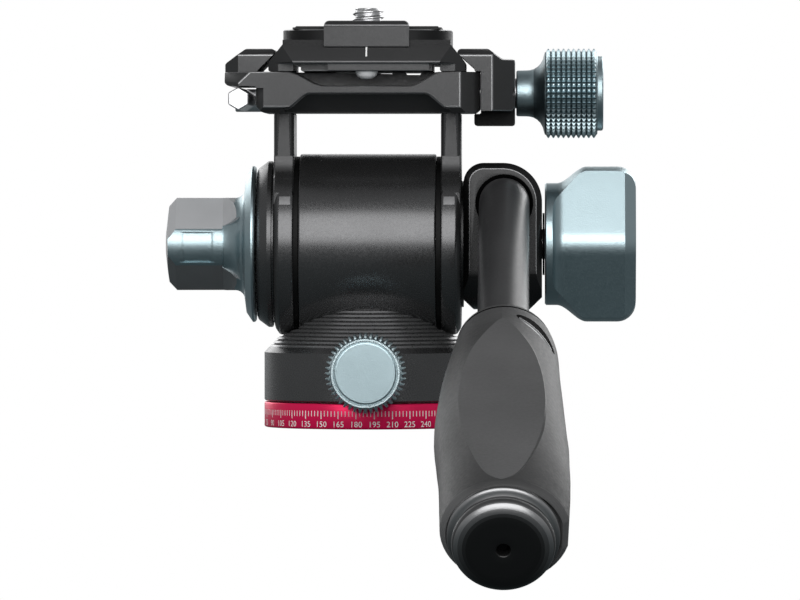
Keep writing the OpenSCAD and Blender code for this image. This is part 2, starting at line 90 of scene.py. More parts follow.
# --------------------------------------------------------------- materials
class Mat:
    """Small helper around a node material with one Principled shader."""

    def __init__(self, name):
        self.m = bpy.data.materials.new(name)
        self.m.use_nodes = True
        self.nt = self.m.node_tree
        self.b = self.nt.nodes["Principled BSDF"]
        self.coord = None

    def obj(self):
        if self.coord is None:
            self.coord = self.nt.nodes.new("ShaderNodeTexCoord")
        return self.coord.outputs["Object"]

    def set(self, **kw):
        for k, v in kw.items():
            self.b.inputs[k.replace("_", " ")].default_value = v
        return self

    def mapped(self, scale):
        mp = self.nt.nodes.new("ShaderNodeMapping")
        mp.inputs["Scale"].default_value = scale
        self.nt.links.new(self.obj(), mp.inputs["Vector"])
        return mp.outputs["Vector"]

    def noise(self, scale, detail=4.0, rough=0.55, stretch=None):
        n = self.nt.nodes.new("ShaderNodeTexNoise")
        n.inputs["Scale"].default_value = scale
        n.inputs["Detail"].default_value = detail
        n.inputs["Roughness"].default_value = rough
        self.nt.links.new(self.obj() if stretch is None else self.mapped(stretch), n.inputs["Vector"])
        return n.outputs["Fac"]

    def voronoi(self, scale):
        n = self.nt.nodes.new("ShaderNodeTexVoronoi")
        n.inputs["Scale"].default_value = scale
        self.nt.links.new(self.obj(), n.inputs["Vector"])
        return n.outputs["Distance"]

    def ramp(self, fac, stops):
        r = self.nt.nodes.new("ShaderNodeValToRGB")
        e = r.color_ramp.elements
        while len(e) < len(stops):
            e.new(0.5)
        for el, (p, c) in zip(e, stops):
            el.position = p
            el.color = (*c, 1.0) if len(c) == 3 else c
        self.nt.links.new(fac, r.inputs["Fac"])
        return r.outputs["Color"]

    def span(self, fac, lo, hi, a=0.3, b=0.7):
        n = self.nt.nodes.new("ShaderNodeMapRange")
        n.inputs["From Min"].default_value = a
        n.inputs["From Max"].default_value = b
        n.inputs["To Min"].default_value = lo
        n.inputs["To Max"].default_value = hi
        self.nt.links.new(fac, n.inputs["Value"])
        return n.outputs["Result"]

    def link(self, out, socket):
        self.nt.links.new(out, self.b.inputs[socket])
        return self

    def bump(self, fac, strength, distance, under=None):
        n = self.nt.nodes.new("ShaderNodeBump")
        n.inputs["Strength"].default_value = strength
        n.inputs["Distance"].default_value = distance
        self.nt.links.new(fac, n.inputs["Height"])
        if under is not None:
            self.nt.links.new(under, n.inputs["Normal"])
        self.nt.links.new(n.outputs["Normal"], self.b.inputs["Normal"])
        return n.outputs["Normal"]


def black_metal(name, base, rough, grain=0.5):
    """Blasted and anodised aluminium: dark, with a fine sandy grain and slow cloudiness."""
    k = Mat(name)
    k.set(Metallic=0.86)
    cloud = k.noise(60.0, 3.0)
    lo = tuple(c * 0.92 for c in base)
    hi = tuple(c * 1.09 for c in base)
    k.link(k.ramp(cloud, [(0.3, lo), (0.7, hi)]), "Base Color")
    fine = k.noise(2600.0, 2.0, 0.6)
    k.link(k.span(fine, rough - 0.05, rough + 0.06), "Roughness")
    g = k.voronoi(5200.0)
    n1 = k.bump(g, 0.16 * grain, 0.00005)
    k.bump(fine, 0.22 * grain, 0.00006, n1)
    return k.m


def teal_metal(name, base, rough=0.34):
    """Pale blue-grey anodised aluminium with a fine blasted sparkle."""
    k = Mat(name)
    k.set(Metallic=1.0)
    cloud = k.noise(45.0, 3.0)
    lo = tuple(c * 0.93 for c in base)
    hi = tuple(min(1.0, c * 1.06) for c in base)
    k.link(k.ramp(cloud, [(0.3, lo), (0.7, hi)]), "Base Color")
    fine = k.noise(3000.0, 2.0, 0.6)
    k.link(k.span(fine, rough - 0.06, rough + 0.07), "Roughness")
    g = k.voronoi(5600.0)
    n1 = k.bump(g, 0.16, 0.00005)
    k.bump(fine, 0.20, 0.00005, n1)
    return k.m


def turned_metal(name, base, rough, stretch, metallic=1.0, relief=0.08):
    k = Mat(name)
    k.set(Metallic=metallic)
    fine = k.noise(900.0, 3.0, 0.6, stretch)
    lo = tuple(c * 0.9 for c in base)
    k.link(k.ramp(fine, [(0.3, lo), (0.7, base)]), "Base Color")
    k.link(k.span(fine, rough - 0.04, rough + 0.06), "Roughness")
    if relief:
        k.bump(fine, relief, 0.00004)
    return k.m


def rubber(name, base, rough, grain_scale, depth, spec=0.4):
    k = Mat(name)
    k.b.inputs["Specular IOR Level"].default_value = spec
    cloud = k.noise(40.0, 3.0)
    lo = tuple(c * 0.85 for c in base)
    hi = tuple(c * 1.15 for c in base)
    k.link(k.ramp(cloud, [(0.3, lo), (0.7, hi)]), "Base Color")
    fine = k.noise(grain_scale, 3.0, 0.6)
    k.link(k.span(fine, rough - 0.05, rough + 0.08), "Roughness")
    g = k.voronoi(grain_scale * 1.4)
    n1 = k.bump(g, 0.18, depth)
    k.bump(fine, 0.16, depth, n1)
    return k.m


def sleeve(name, base, rough, steps):
    """Moulded rubber with painted light and shade along the handle, a ramp of base colour standing in for how light
    falls; steps are (mm from the sleeve's start, factor).
    """
    k = Mat(name)
    k.b.inputs["Specular IOR Level"].default_value = 0.3
    mp = k.nt.nodes.new("ShaderNodeMapping")
    mp.inputs["Rotation"].default_value = (-HANDLE_SLOPE, 0.0, 0.0)
    k.nt.links.new(k.obj(), mp.inputs["Vector"])
    sep = k.nt.nodes.new("ShaderNodeSeparateXYZ")
    k.nt.links.new(mp.outputs["Vector"], sep.inputs["Vector"])
    y0 = HO_S + ROD_LEN * MM
    along = k.span(sep.outputs["Y"], 0.0, 1.0, -y0, -(y0 + GRIP_LEN * MM))
    r = k.nt.nodes.new("ShaderNodeValToRGB")
    stops = r.color_ramp.elements
    for s, f in steps[1:-1]:
        stops.new(s / GRIP_LEN)
    for stop, (s, f) in zip(stops, steps):
        stop.color = (base * f, base * f, base * f * 1.01, 1.0)
    k.nt.links.new(along, r.inputs["Fac"])
    k.link(r.outputs["Color"], "Base Color")
    fine = k.noise(1500.0, 3.0, 0.6)
    k.link(k.span(fine, rough - 0.05, rough + 0.08), "Roughness")
    g = k.voronoi(2100.0)
    n1 = k.bump(g, 0.18, 0.00005)
    k.bump(fine, 0.16, 0.00005, n1)
    return k.m


def sleeve_end(name, rough, steps):
    """Rubber of the sleeve's rounded end, paler at its sides as painted light; steps are (mm from the handle's middle,
    shade).
    """
    k = Mat(name)
    k.b.inputs["Specular IOR Level"].default_value = 0.3
    sep = k.nt.nodes.new("ShaderNodeSeparateXYZ")
    k.nt.links.new(k.obj(), sep.inputs["Vector"])
    x0, x1 = steps[0][0], steps[-1][0]
    across = k.span(sep.outputs["X"], 0.0, 1.0, (HANDLE_X + x0) * MM, (HANDLE_X + x1) * MM)
    r = k.nt.nodes.new("ShaderNodeValToRGB")
    stops = r.color_ramp.elements
    for x, c in steps[1:-1]:
        stops.new((x - x0) / (x1 - x0))
    for stop, (x, c) in zip(stops, steps):
        stop.color = (c, c, c * 1.01, 1.0)
    k.nt.links.new(across, r.inputs["Fac"])
    k.link(r.outputs["Color"], "Base Color")
    fine = k.noise(1500.0, 3.0, 0.6)
    k.link(k.span(fine, rough - 0.05, rough + 0.08), "Roughness")
    g = k.voronoi(2100.0)
    n1 = k.bump(g, 0.18, 0.00005)
    k.bump(fine, 0.16, 0.00005, n1)
    return k.m


def cap_metal(name, base):
    """Smooth black finish of the handle's end, with painted shade that deepens towards the underside."""
    k = Mat(name)
    k.set(Metallic=0.86)
    mp = k.nt.nodes.new("ShaderNodeMapping")
    mp.inputs["Rotation"].default_value = (-HANDLE_SLOPE, 0.0, 0.0)
    k.nt.links.new(k.obj(), mp.inputs["Vector"])
    sep = k.nt.nodes.new("ShaderNodeSeparateXYZ")
    k.nt.links.new(mp.outputs["Vector"], sep.inputs["Vector"])
    up = k.span(sep.outputs["Z"], 0.0, 1.0, HO_UP - 7.0 * MM, HO_UP + 5.0 * MM)
    low = min(base, 0.030)
    k.link(k.ramp(up, [(0.0, (low, low, low * 1.01)), (1.0, (base, base, base * 1.01))]), "Base Color")
    fine = k.noise(2600.0, 2.0, 0.6)
    k.link(k.span(fine, 0.29, 0.35), "Roughness")
    k.bump(fine, 0.01, 0.00006)
    return k.m


def gloss(name, base, rough, coat=0.0):
    k = Mat(name)
    cloud = k.noise(70.0, 3.0)
    lo = tuple(c * 0.85 for c in base)
    hi = tuple(c * 1.15 for c in base)
    k.link(k.ramp(cloud, [(0.3, lo), (0.7, hi)]), "Base Color")
    fine = k.noise(1500.0, 2.0)
    k.link(k.span(fine, rough - 0.03, rough + 0.04), "Roughness")
    k.b.inputs["Coat Weight"].default_value = coat
    k.b.inputs["Coat Roughness"].default_value = 0.12
    k.bump(fine, 0.05, 0.00004)
    return k.m


BLACK = black_metal("black_anodised", (0.071, 0.071, 0.072), 0.45)
SOCKET = black_metal("black_socket", (0.028, 0.028, 0.0284), 0.28, 0.12)
BLACK2 = black_metal("black_housing", (0.100, 0.100, 0.102), 0.27, 0.12)
# Pale metal: the strap pin's own finish, and elsewhere painted light: highlight lines on bevels and chamfers, a
# highlight band on the arms, the shaded lower flats of the left knob.
PALE_METAL_AND_PAINTED_LIGHT = black_metal("pale_metal_and_painted_light", (0.30, 0.30, 0.305), 0.40, 0.2)
DULL = black_metal("black_dull", (0.026, 0.026, 0.0265), 0.50)
JET = black_metal("jet_black", (0.010, 0.010, 0.010), 0.55)
TEAL = teal_metal("teal_anodised", (0.385, 0.485, 0.515))
# Paler and deeper copies of the teal anodise: painted highlight and painted shade, set by place on the knobs.
TEAL_PAINTED_HIGHLIGHT = teal_metal("teal_painted_highlight", (0.55, 0.66, 0.69), 0.28)
TEAL_PAINTED_SHADE = teal_metal("teal_painted_shade", (0.13, 0.17, 0.185), 0.42)
# Pale grey for the upper faces of the left knob: milled flats whose pale tone above the axis is painted light.
FLATS_PAINTED_LIT = rubber("milled_flats_painted_lit", (0.375, 0.38, 0.39), 0.42, 1800.0, 0.00002, 0.6)
RED = None
STEEL = turned_metal("turned_steel", (0.56, 0.56, 0.57), 0.30, (1, 1, 1))
BRIGHT = turned_metal("bright_steel", (0.80, 0.80, 0.81), 0.30, (1, 1, 1), 1.0, 0.0)
# Pale white of the stop screws: a painted highlight standing for the bright glint on the screw head.
STOP_SCREW_PAINTED_HIGHLIGHT = gloss("stop_screw_painted_highlight", (0.78, 0.78, 0.79), 0.30)
BRASS = turned_metal("turned_brass", (0.62, 0.46, 0.20), 0.32, (1, 1, 1))
NYLON = rubber("white_nylon", (0.62, 0.60, 0.54), 0.55, 900.0, 0.00003)
GRIP = rubber("grip_rubber", (0.080, 0.080, 0.081), 0.52, 1500.0, 0.00005, 0.3)
# Left and right copies of the sleeve rubber: painted light and shade along each side, the right lit more near the
# start.
SLEEVE_LEFT_PAINTED_LIGHT = sleeve("grip_sleeve_left_painted_light", 0.080, 0.52, [(0, 0.70), (7, 0.66), (10, 0.52), (14, 0.48), (24, 0.68), (34, 0.95), (40, 1.02), (50, 0.72), (60, 0.54), (70, 0.45)])
SLEEVE_RIGHT_PAINTED_LIGHT = sleeve("grip_sleeve_right_painted_light", 0.080, 0.52, [(0, 0.70), (7, 0.70), (10, 1.02), (14, 1.18), (24, 1.12), (34, 1.03), (40, 0.96), (50, 0.70), (60, 0.53), (70, 0.45)])
# Rubber of the sleeve's end, paler at its sides: painted light.
GRIP_END_PAINTED_LIGHT = sleeve_end("grip_sleeve_end_painted_light", 0.52, [(-12, 0.12), (-8, 0.085), (-4.5, 0.042), (0, 0.036), (5, 0.040), (8, 0.062), (12, 0.09)])
PAD = rubber("pad_rubber", (0.016, 0.016, 0.016), 0.62, 1400.0, 0.00006, 0.3)
ROD = gloss("rod_black", (0.032, 0.032, 0.033), 0.36)
# Five tones of the handle's end: painted highlight crescents and painted shade, set ring by ring.
CAP_PAINTED_LIGHT = [cap_metal("cap_black_%d" % i, c) for i, c in enumerate((0.11, 0.32, 0.17, 0.065, 0.034))]
DRUM = black_metal("black_drum", (0.105, 0.105, 0.107), 0.265, 0.03)
# Paler black for the neck's ribs: painted light.
NECK_PAINTED_LIGHT = black_metal("black_neck_painted_light", (0.30, 0.30, 0.304), 0.30, 0.2)
WHITE = gloss("mark_white", (0.86, 0.86, 0.85), 0.45)


def red_metal():
    k = Mat("red_anodised")
    k.set(Metallic=0.5)
    cloud = k.noise(50.0, 3.0)
    k.link(k.ramp(cloud, [(0.3, (0.80, 0.003, 0.085)), (0.7, (0.90, 0.005, 0.105))]), "Base Color")
    # fine turning lines that run round the ring
    lines = k.noise(700.0, 3.0, 0.6, (0.02, 0.02, 6.0))
    k.link(k.span(lines, 0.30, 0.40), "Roughness")
    k.bump(lines, 0.06, 0.00004)
    return k.m


RED = red_metal()


# ------------------------------------------------------------ mesh helpers
def new_object(name, verts, faces, mats, scale=MM):
    me = bpy.data.meshes.new(name)
    me.from_pydata([tuple(c * scale for c in v) for v in verts], [], faces)
    me.validate()
    ob = bpy.data.objects.new(name, me)
    scene.collection.objects.link(ob)
    for m in mats:
        me.materials.append(m)
    return ob


def shade(ob, angle=30.0):
    me = ob.data
    me.polygons.foreach_set("use_smooth", [True] * len(me.polygons))
    me.set_sharp_from_angle(angle=math.radians(angle))
    me.update()


def tidy(ob, merge=1e-7):
    bm = bmesh.new()
    bm.from_mesh(ob.data)
    bmesh.ops.remove_doubles(bm, verts=bm.verts, dist=merge)
    bmesh.ops.recalc_face_normals(bm, faces=bm.faces)
    bm.to_mesh(ob.data)
    bm.free()


def place(axis, origin, r, t, a):
    """Point at radius r, height t and angle a around an axis."""
    c, s = math.cos(a), math.sin(a)
    ox, oy, oz = origin
    if axis == "X":
        return (ox + t, oy + r * c, oz + r * s)
    if axis == "Y":
        return (ox + r * c, oy + t, oz + r * s)
    return (ox + r * c, oy + r * s, oz + t)


def revolve(name, profile, axis, origin, mats, n=192, wobble=None, closed=False, angle=30.0, strips=None):
    """Solid of revolution. profile is [(radius, position)]; wobble(i, a, r) may change a ring's radius.
    strips maps a profile segment to a material index."""
    verts, faces, idx = [], [], []
    rings = []
    for i, (r, t) in enumerate(profile):
        if r < 1e-6:
            rings.append([len(verts)] * n)
            verts.append(place(axis, origin, 0.0, t, 0.0))
        else:
            ring = []
            for j in range(n):
                a = 2 * math.pi * j / n
                rr = r if wobble is None else wobble(i, a, r)
                ring.append(len(verts))
                verts.append(place(axis, origin, rr, t, a))
            rings.append(ring)
    count = len(profile) if closed else len(profile) - 1
    for i in range(count):
        a, b = rings[i], rings[(i + 1) % len(profile)]
        for j in range(n):
            k = (j + 1) % n
            f = []
            for v in (a[j], a[k], b[k], b[j]):
                if v not in f:
                    f.append(v)
            if len(f) > 2:
                faces.append(f)
                idx.append((strips or {}).get(i, 0))
    ob = new_object(name, verts, faces, mats)
    for p, m in zip(ob.data.polygons, idx):
        p.material_index = m
    tidy(ob)
    shade(ob, angle)
    return ob


def chains(edges):
    """Groups sharp edges that run on from each other, and gives each group's extent."""
    left = set(edges)
    out = []
    while left:
        e = left.pop()
        group = [e]
        stack = [e]
        while stack:
            c = stack.pop()
            for v in c.verts:
                for f in v.link_edges:
                    if f in left:
                        d1 = (c.other_vert(v).co - v.co).normalized()
                        d2 = (f.other_vert(v).co - v.co).normalized()
                        if d1.dot(d2) < -0.72:
                            left.discard(f)
                            group.append(f)
                            stack.append(f)
        pts = [v.co for g in group for v in g.verts]
        ext = max(max(p[k] for p in pts) - min(p[k] for p in pts) for k in range(3))
        out.append((ext, group))
    return out


def dressed(node, mats, bevel=0.2, least=3.0, angle=28.0, shade_angle=30.0, keep=None, move=None):
    """Copy of a CAD node with merged facets and machined edges, standing for that node.
    keep(edge) may leave an edge sharp."""
    src = nodes[node]
    me = src.data.copy()
    me.name = node + "_skin"
    ob = bpy.data.objects.new(node + "_skin", me)
    scene.collection.objects.link(ob)
    me.materials.clear()
    for m in mats:
        me.materials.append(m)
    bm = bmesh.new()
    bm.from_mesh(me)
    for lay in list(bm.loops.layers.uv.values()):
        bm.loops.layers.uv.remove(lay)
    bmesh.ops.remove_doubles(bm, verts=bm.verts, dist=2e-6)
    bmesh.ops.dissolve_limit(bm, angle_limit=math.radians(0.6), verts=bm.verts, edges=bm.edges, delimit=set())
    bmesh.ops.recalc_face_normals(bm, faces=bm.faces)
    for f in bm.faces:
        f.material_index = 0
        f.smooth = True
    if move is not None:
        for v in bm.verts:
            move(v)
    if bevel > 0:
        sharp = [e for e in bm.edges if len(e.link_faces) == 2 and e.calc_face_angle(0.0) > math.radians(angle)]
        chosen = []
        for ext, group in chains(sharp):
            if ext >= least * MM:
                chosen += [e for e in group if keep is None or keep(e)]
        if chosen:
            # Bevel faces wear the second material; where that is the pale edge metal, the bright line along the edge
            # is a painted highlight.
            bmesh.ops.bevel(bm, geom=chosen, offset=bevel * MM, offset_type="OFFSET", segments=1, profile=0.5,
                            affect="EDGES", clamp_overlap=False, material=1 if len(mats) > 1 else -1, loop_slide=True)
    bm.to_mesh(me)
    bm.free()
    if me.has_custom_normals if hasattr(me, "has_custom_normals") else False:
        with bpy.context.temp_override(object=ob, active_object=ob, selected_objects=[ob]):
            bpy.ops.mesh.customdata_custom_splitnormals_clear()
    shade(ob, shade_angle)
    wn = ob.modifiers.new("face_normals", "WEIGHTED_NORMAL")
    wn.mode = "FACE_AREA"
    wn.weight = 100
    wn.keep_sharp = True
    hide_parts(node)
    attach(ob, src["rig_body"])
    return ob


def stand_for(ob, node):
    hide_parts(node)
    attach(ob, nodes[node]["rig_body"])
    return ob


def smooth_steps(points, s):
    """Monotone cubic through (position, value) points."""
    xs = [p[0] for p in points]
    ys = [p[1] for p in points]
    n = len(xs)
    if s <= xs[0]:
        return ys[0]
    if s >= xs[-1]:
        return ys[-1]
    d = [(ys[i + 1] - ys[i]) / (xs[i + 1] - xs[i]) for i in range(n - 1)]
    m = [d[0]] + [0.0 if d[i - 1] * d[i] <= 0 else 2 * d[i - 1] * d[i] / (d[i - 1] + d[i]) for i in range(1, n - 1)] + [d[-1]]
    for i in range(n - 1):
        if s <= xs[i + 1]:
            h = xs[i + 1] - xs[i]
            t = (s - xs[i]) / h
            return ((2 * t ** 3 - 3 * t ** 2 + 1) * ys[i] + (t ** 3 - 2 * t ** 2 + t) * h * m[i]
                    + (-2 * t ** 3 + 3 * t ** 2) * ys[i + 1] + (t ** 3 - t ** 2) * h * m[i + 1])


def round_end(c, r, a0, a1, n):
    """Points of an arc in (radius, position); angles in degrees from the radius direction."""
    return [(c[0] + r * math.cos(math.radians(a0 + (a1 - a0) * i / n)), c[1] + r * math.sin(math.radians(a0 + (a1 - a0) * i / n))) for i in range(n + 1)]


PIVOT = (0.0, 0.0, TILT_Z)

# ------------------------------------------------------------- scale ring
ring = revolve("scale_ring_skin", [(18.55, 0.0), (20.4, 0.0), (20.7, 0.12), (RING_R, 0.35), (RING_R, 4.75), (20.72, 4.97), (20.6, 5.05), (18.55, 5.05)],
               "Z", (0, 0, 0), [RED], n=256, closed=True, angle=50)
stand_for(ring, "scale_ring")


def ring_point(phi, z, r):
    return (r * math.sin(phi), -r * math.cos(phi), z)


def scale_marks():
    verts, faces = [], []
    r0, r1 = RING_R - 0.07, RING_R + 0.015
    for k in range(180):
        phi = math.radians(k * 2.0 - 5.6)
        long = k % 5 == 0
        half = math.radians(0.27 if long else 0.21)
        z0, z1 = (2.05 if long else 2.55), 3.62
        b = len(verts)
        for r in (r0, r1):
            for z in (z0, z1):
                for f in (phi - half, phi + half):
                    verts.append(ring_point(f, z, r))
        for q in ((0, 1, 3, 2), (4, 6, 7, 5), (0, 4, 5, 1), (2, 3, 7, 6), (0, 2, 6, 4), (1, 5, 7, 3)):
            faces.append([b + i for i in q])
    font_height = 1.62
    for k in range(36):
        label = k * 15
        cu = bpy.data.curves.new("numeral", "FONT")
        cu.body = str(label)
        cu.size = font_height
        cu.align_x = "CENTER"
        cu.extrude = 0.04
        cu.resolution_u = 3
        cu.space_character = 1.02
        ob = bpy.data.objects.new("numeral", cu)
        scene.collection.objects.link(ob)
        bpy.context.view_layer.update()
        me = bpy.data.meshes.new_from_object(ob.evaluated_get(bpy.context.evaluated_depsgraph_get()))
        b = len(verts)
        phi0 = math.radians((k - 12) * 10 - 5.6)
        for v in me.vertices:
            verts.append(ring_point(phi0 + v.co.x / RING_R, 0.46 + v.co.y, RING_R - 0.025 + v.co.z))
        for p in me.polygons:
            faces.append([b + i for i in p.vertices])
        bpy.data.meshes.remove(me)
        bpy.data.objects.remove(ob)
        bpy.data.curves.remove(cu)
    ob = new_object("scale_marks", verts, faces, [WHITE])
    tidy(ob)
    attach(ob, "base")
    return ob


scale_marks()

# ------------------------------------------------------------ pan housing
housing = dressed("pan_housing", [BLACK2, NECK_PAINTED_LIGHT], bevel=0.0, shade_angle=24)
# Faces above 16.02 mm, the neck's ribs, wear a paler black: painted light that brightens the ribs.
for poly in housing.data.polygons:
    if poly.center.z > 16.02 * MM:
        poly.material_index = 1
drum = revolve("tilt_drum_skin", [(14.5, -13.6), (17.62, -13.6), (17.9, -13.5), (18.0, -13.25), (18.0, 13.25), (17.9, 13.5), (17.62, 13.6), (14.5, 13.6)],
               "X", PIVOT, [DRUM], n=256, closed=True, angle=50)
stand_for(drum, "tilt_drum")

# ------------------------------------------------------------ pan lock knob
TEETH = 44
knob_profile = [(0.0, -29.9), (5.75, -29.9), (5.85, -29.9), (6.0, -29.84), (6.07, -29.68), (6.07, -29.25), (6.3, -29.25), (6.3, -29.55), (6.38, -29.66), (6.75, -29.66),
                (6.9, -29.5), (6.96, -29.2), (7.0, -28.95), (7.35, -28.8), (7.7, -28.55), (7.9, -28.25), (7.95, -27.8), (7.95, -23.6), (7.75, -23.0), (7.0, -22.4),
                (4.4, -22.4), (4.4, -21.2), (0.0, -21.2)]


def knob_teeth(i, a, r):
    depth = {13: 0.33, 14: 0.66, 15: 0.85, 16: 0.9, 17: 0.9, 18: 0.7}.get(i, 0.0)
    return r - depth * max(0.0, (abs(math.sin(TEETH * a / 2)) - 0.45) / 0.55)


# Strips 3, 8, 12 and 13, chamfers and ring faces, wear the paler teal as a painted highlight.
pk = revolve("pan_lock_knob_skin", knob_profile, "Y", (0, 0, 11.3), [TEAL, TEAL_PAINTED_HIGHLIGHT], n=TEETH * 12, wobble=knob_teeth, angle=26, strips={3: 1, 8: 1, 12: 1, 13: 1})
stand_for(pk, "pan_lock_knob")

# --------------------------------------------------------------- tilt yoke
for side in ("left_arm", "right_arm"):
    arm = dressed(side, [BLACK, BLACK2, DRUM, PALE_METAL_AND_PAINTED_LIGHT], bevel=0.28, least=5.0)
    for poly in arm.data.polygons:
        n, c = poly.normal, poly.center / MM
        y, z = c.y, c.z - TILT_Z
        r = math.hypot(y, z)
        # The flange's band 7.6 to 9.6 mm above the axis wears the pale edge metal, a painted highlight; the rest of
        # the flange takes the drum's glossier black.
        if r > 15.0 and abs(n.x) < 0.2 and (n.y * y + n.z * z) / r > 0.97 and abs(z) < 16.0:
            poly.material_index = 3 if 7.6 < z < 9.6 else 2
cap = revolve("drag_cap_skin", [(5.3, -18.65), (15.7, -18.65), (15.7, -18.95), (16.3, -18.95), (16.55, -19.05), (16.6, -19.25), (16.6, -19.85), (16.5, -20.05),
                               (15.25, -21.75), (15.0, -21.95), (14.5, -22.1), (5.3, -22.1)], "X", PIVOT, [BLACK2], n=256, closed=True, angle=22)
stand_for(cap, "drag_cap")
tilt_knob = dressed("tilt_lock_knob", [TEAL, FLATS_PAINTED_LIT, PALE_METAL_AND_PAINTED_LIGHT], bevel=0.0, shade_angle=24)
# The flats are milled; splitting them and the turned faces near the flange and rim into pale grey above the axis and
# pale metal below is painted light and painted reflection.
for poly in tilt_knob.data.polygons:
    n, c = poly.normal, poly.center / MM
    turn = math.degrees(math.atan2(n.z, n.y)) % 90.0
    around = math.hypot(c.y, c.z - TILT_Z)
    if (abs(turn - 51.0) < 0.4 and around < 15.9 and c.x < -24.0) or (c.x < -38.3 and abs(n.y) < 0.8) or (around > 9.1 and c.x < -26.7):
        poly.material_index = 1 if c.z > TILT_Z else 2


def lean_hollow(v):
    """The wall inside the hollow under the clamp leans back below."""
    x, y, z = v.co / MM
    if abs(abs(y) - 14.8) < 0.05 and abs(x) < 16.8 and z < 66.6:
        v.co.y -= math.copysign(1.0, y) * 0.9 * (66.6 - z) * MM


dressed("clamp_base", [BLACK, PALE_METAL_AND_PAINTED_LIGHT], bevel=0.2, least=5.0, move=lean_hollow)


def jaw_face(v):
    if v.co.x < 20.5 * MM and v.co.z > 71 * MM:
        v.co.x -= 0.3 * MM


jaw = dressed("moving_jaw", [BLACK, PALE_METAL_AND_PAINTED_LIGHT, JET], bevel=0.2, least=4.0, move=jaw_face)
for poly in jaw.data.polygons:
    if poly.material_index == 0 and poly.center.z < 62.6 * MM:
        poly.material_index = 2


def plate_edge(e):
    c = (e.verts[0].co + e.verts[1].co) / (2 * MM)
    return not 75.5 < c.z < 77.4 or (abs(c.x) < 8.5 and c.y < -15)


plate = dressed("dovetail_plate", [BLACK, PALE_METAL_AND_PAINTED_LIGHT, DULL], bevel=0.18, least=5.0, keep=plate_edge)
for poly in plate.data.polygons:
    c = poly.center / MM
    if 75.9 < c.z < 79.3 and abs(poly.normal.z) < 0.5 and not (abs(c.x) < 8.6 and c.y < -14.5):
        poly.material_index = 2
dressed("hex_key", [BRIGHT], bevel=0.22, least=1.0)


def inset(outline, d):
    """Convex outline, counterclockwise, moved inwards by d."""
    out = []
    n = len(outline)
    for i in range(n):
        (x0, z0), (x1, z1), (x2, z2) = outline[i - 1], outline[i], outline[(i + 1) % n]
        l1, l2 = math.hypot(x1 - x0, z1 - z0), math.hypot(x2 - x1, z2 - z1)
        n1 = (-(z1 - z0) / l1, (x1 - x0) / l1)
        n2 = (-(z2 - z1) / l2, (x2 - x1) / l2)
        k = 1.0 + n1[0] * n2[0] + n1[1] * n2[1]
        out.append((x1 + d * (n1[0] + n2[0]) / k, z1 + d * (n1[1] + n2[1]) / k))
    return out


def prism(name, rows, mats, strips, point):
    """Stack of equal-length closed outlines; strips gives each band's material."""
    verts, faces, idx = [], [], []
    n = len(rows[0][1])
    for t, pts in rows:
        verts += [point(u, v, t) for u, v in pts]
    for i in range(len(rows) - 1):
        for j in range(n):
            k = (j + 1) % n
            faces.append([i * n + j, i * n + k, (i + 1) * n + k, (i + 1) * n + j])
            idx.append(strips.get(i, 0))
    faces.append(list(range(n)))
    faces.append(list(reversed(range((len(rows) - 1) * n, len(rows) * n))))
    idx += [0, 0]
    ob = new_object(name, verts, faces, mats)
    for q, m in zip(ob.data.polygons, idx):
        q.material_index = m
    tidy(ob)
    return ob


def arc_points(cx, cy, r, a0, a1, n):
    return [(cx + r * math.cos(math.radians(a0 + (a1 - a0) * i / n)), cy + r * math.sin(math.radians(a0 + (a1 - a0) * i / n))) for i in range(n + 1)]


def carve(ob, tool, keep_inside=False, slot=1):
    """Takes the tool's volume out of ob, or keeps only what lies in it; faces of the cut wear the given material."""
    mat = ob.data.materials[slot]
    tool.data.materials.clear()
    tool.data.materials.append(mat)
    for q in tool.data.polygons:
        q.material_index = 0
    mod = ob.modifiers.new("cut", "BOOLEAN")
    mod.operation = "INTERSECT" if keep_inside else "DIFFERENCE"
    mod.solver = "EXACT"
    mod.object = tool
    mod.material_mode = "TRANSFER"
    bpy.context.view_layer.update()
    me = bpy.data.meshes.new_from_object(ob.evaluated_get(bpy.context.evaluated_depsgraph_get()))
    ob.modifiers.clear()
    old = ob.data
    ob.data = me
    bpy.data.meshes.remove(old)
    bpy.data.objects.remove(tool)


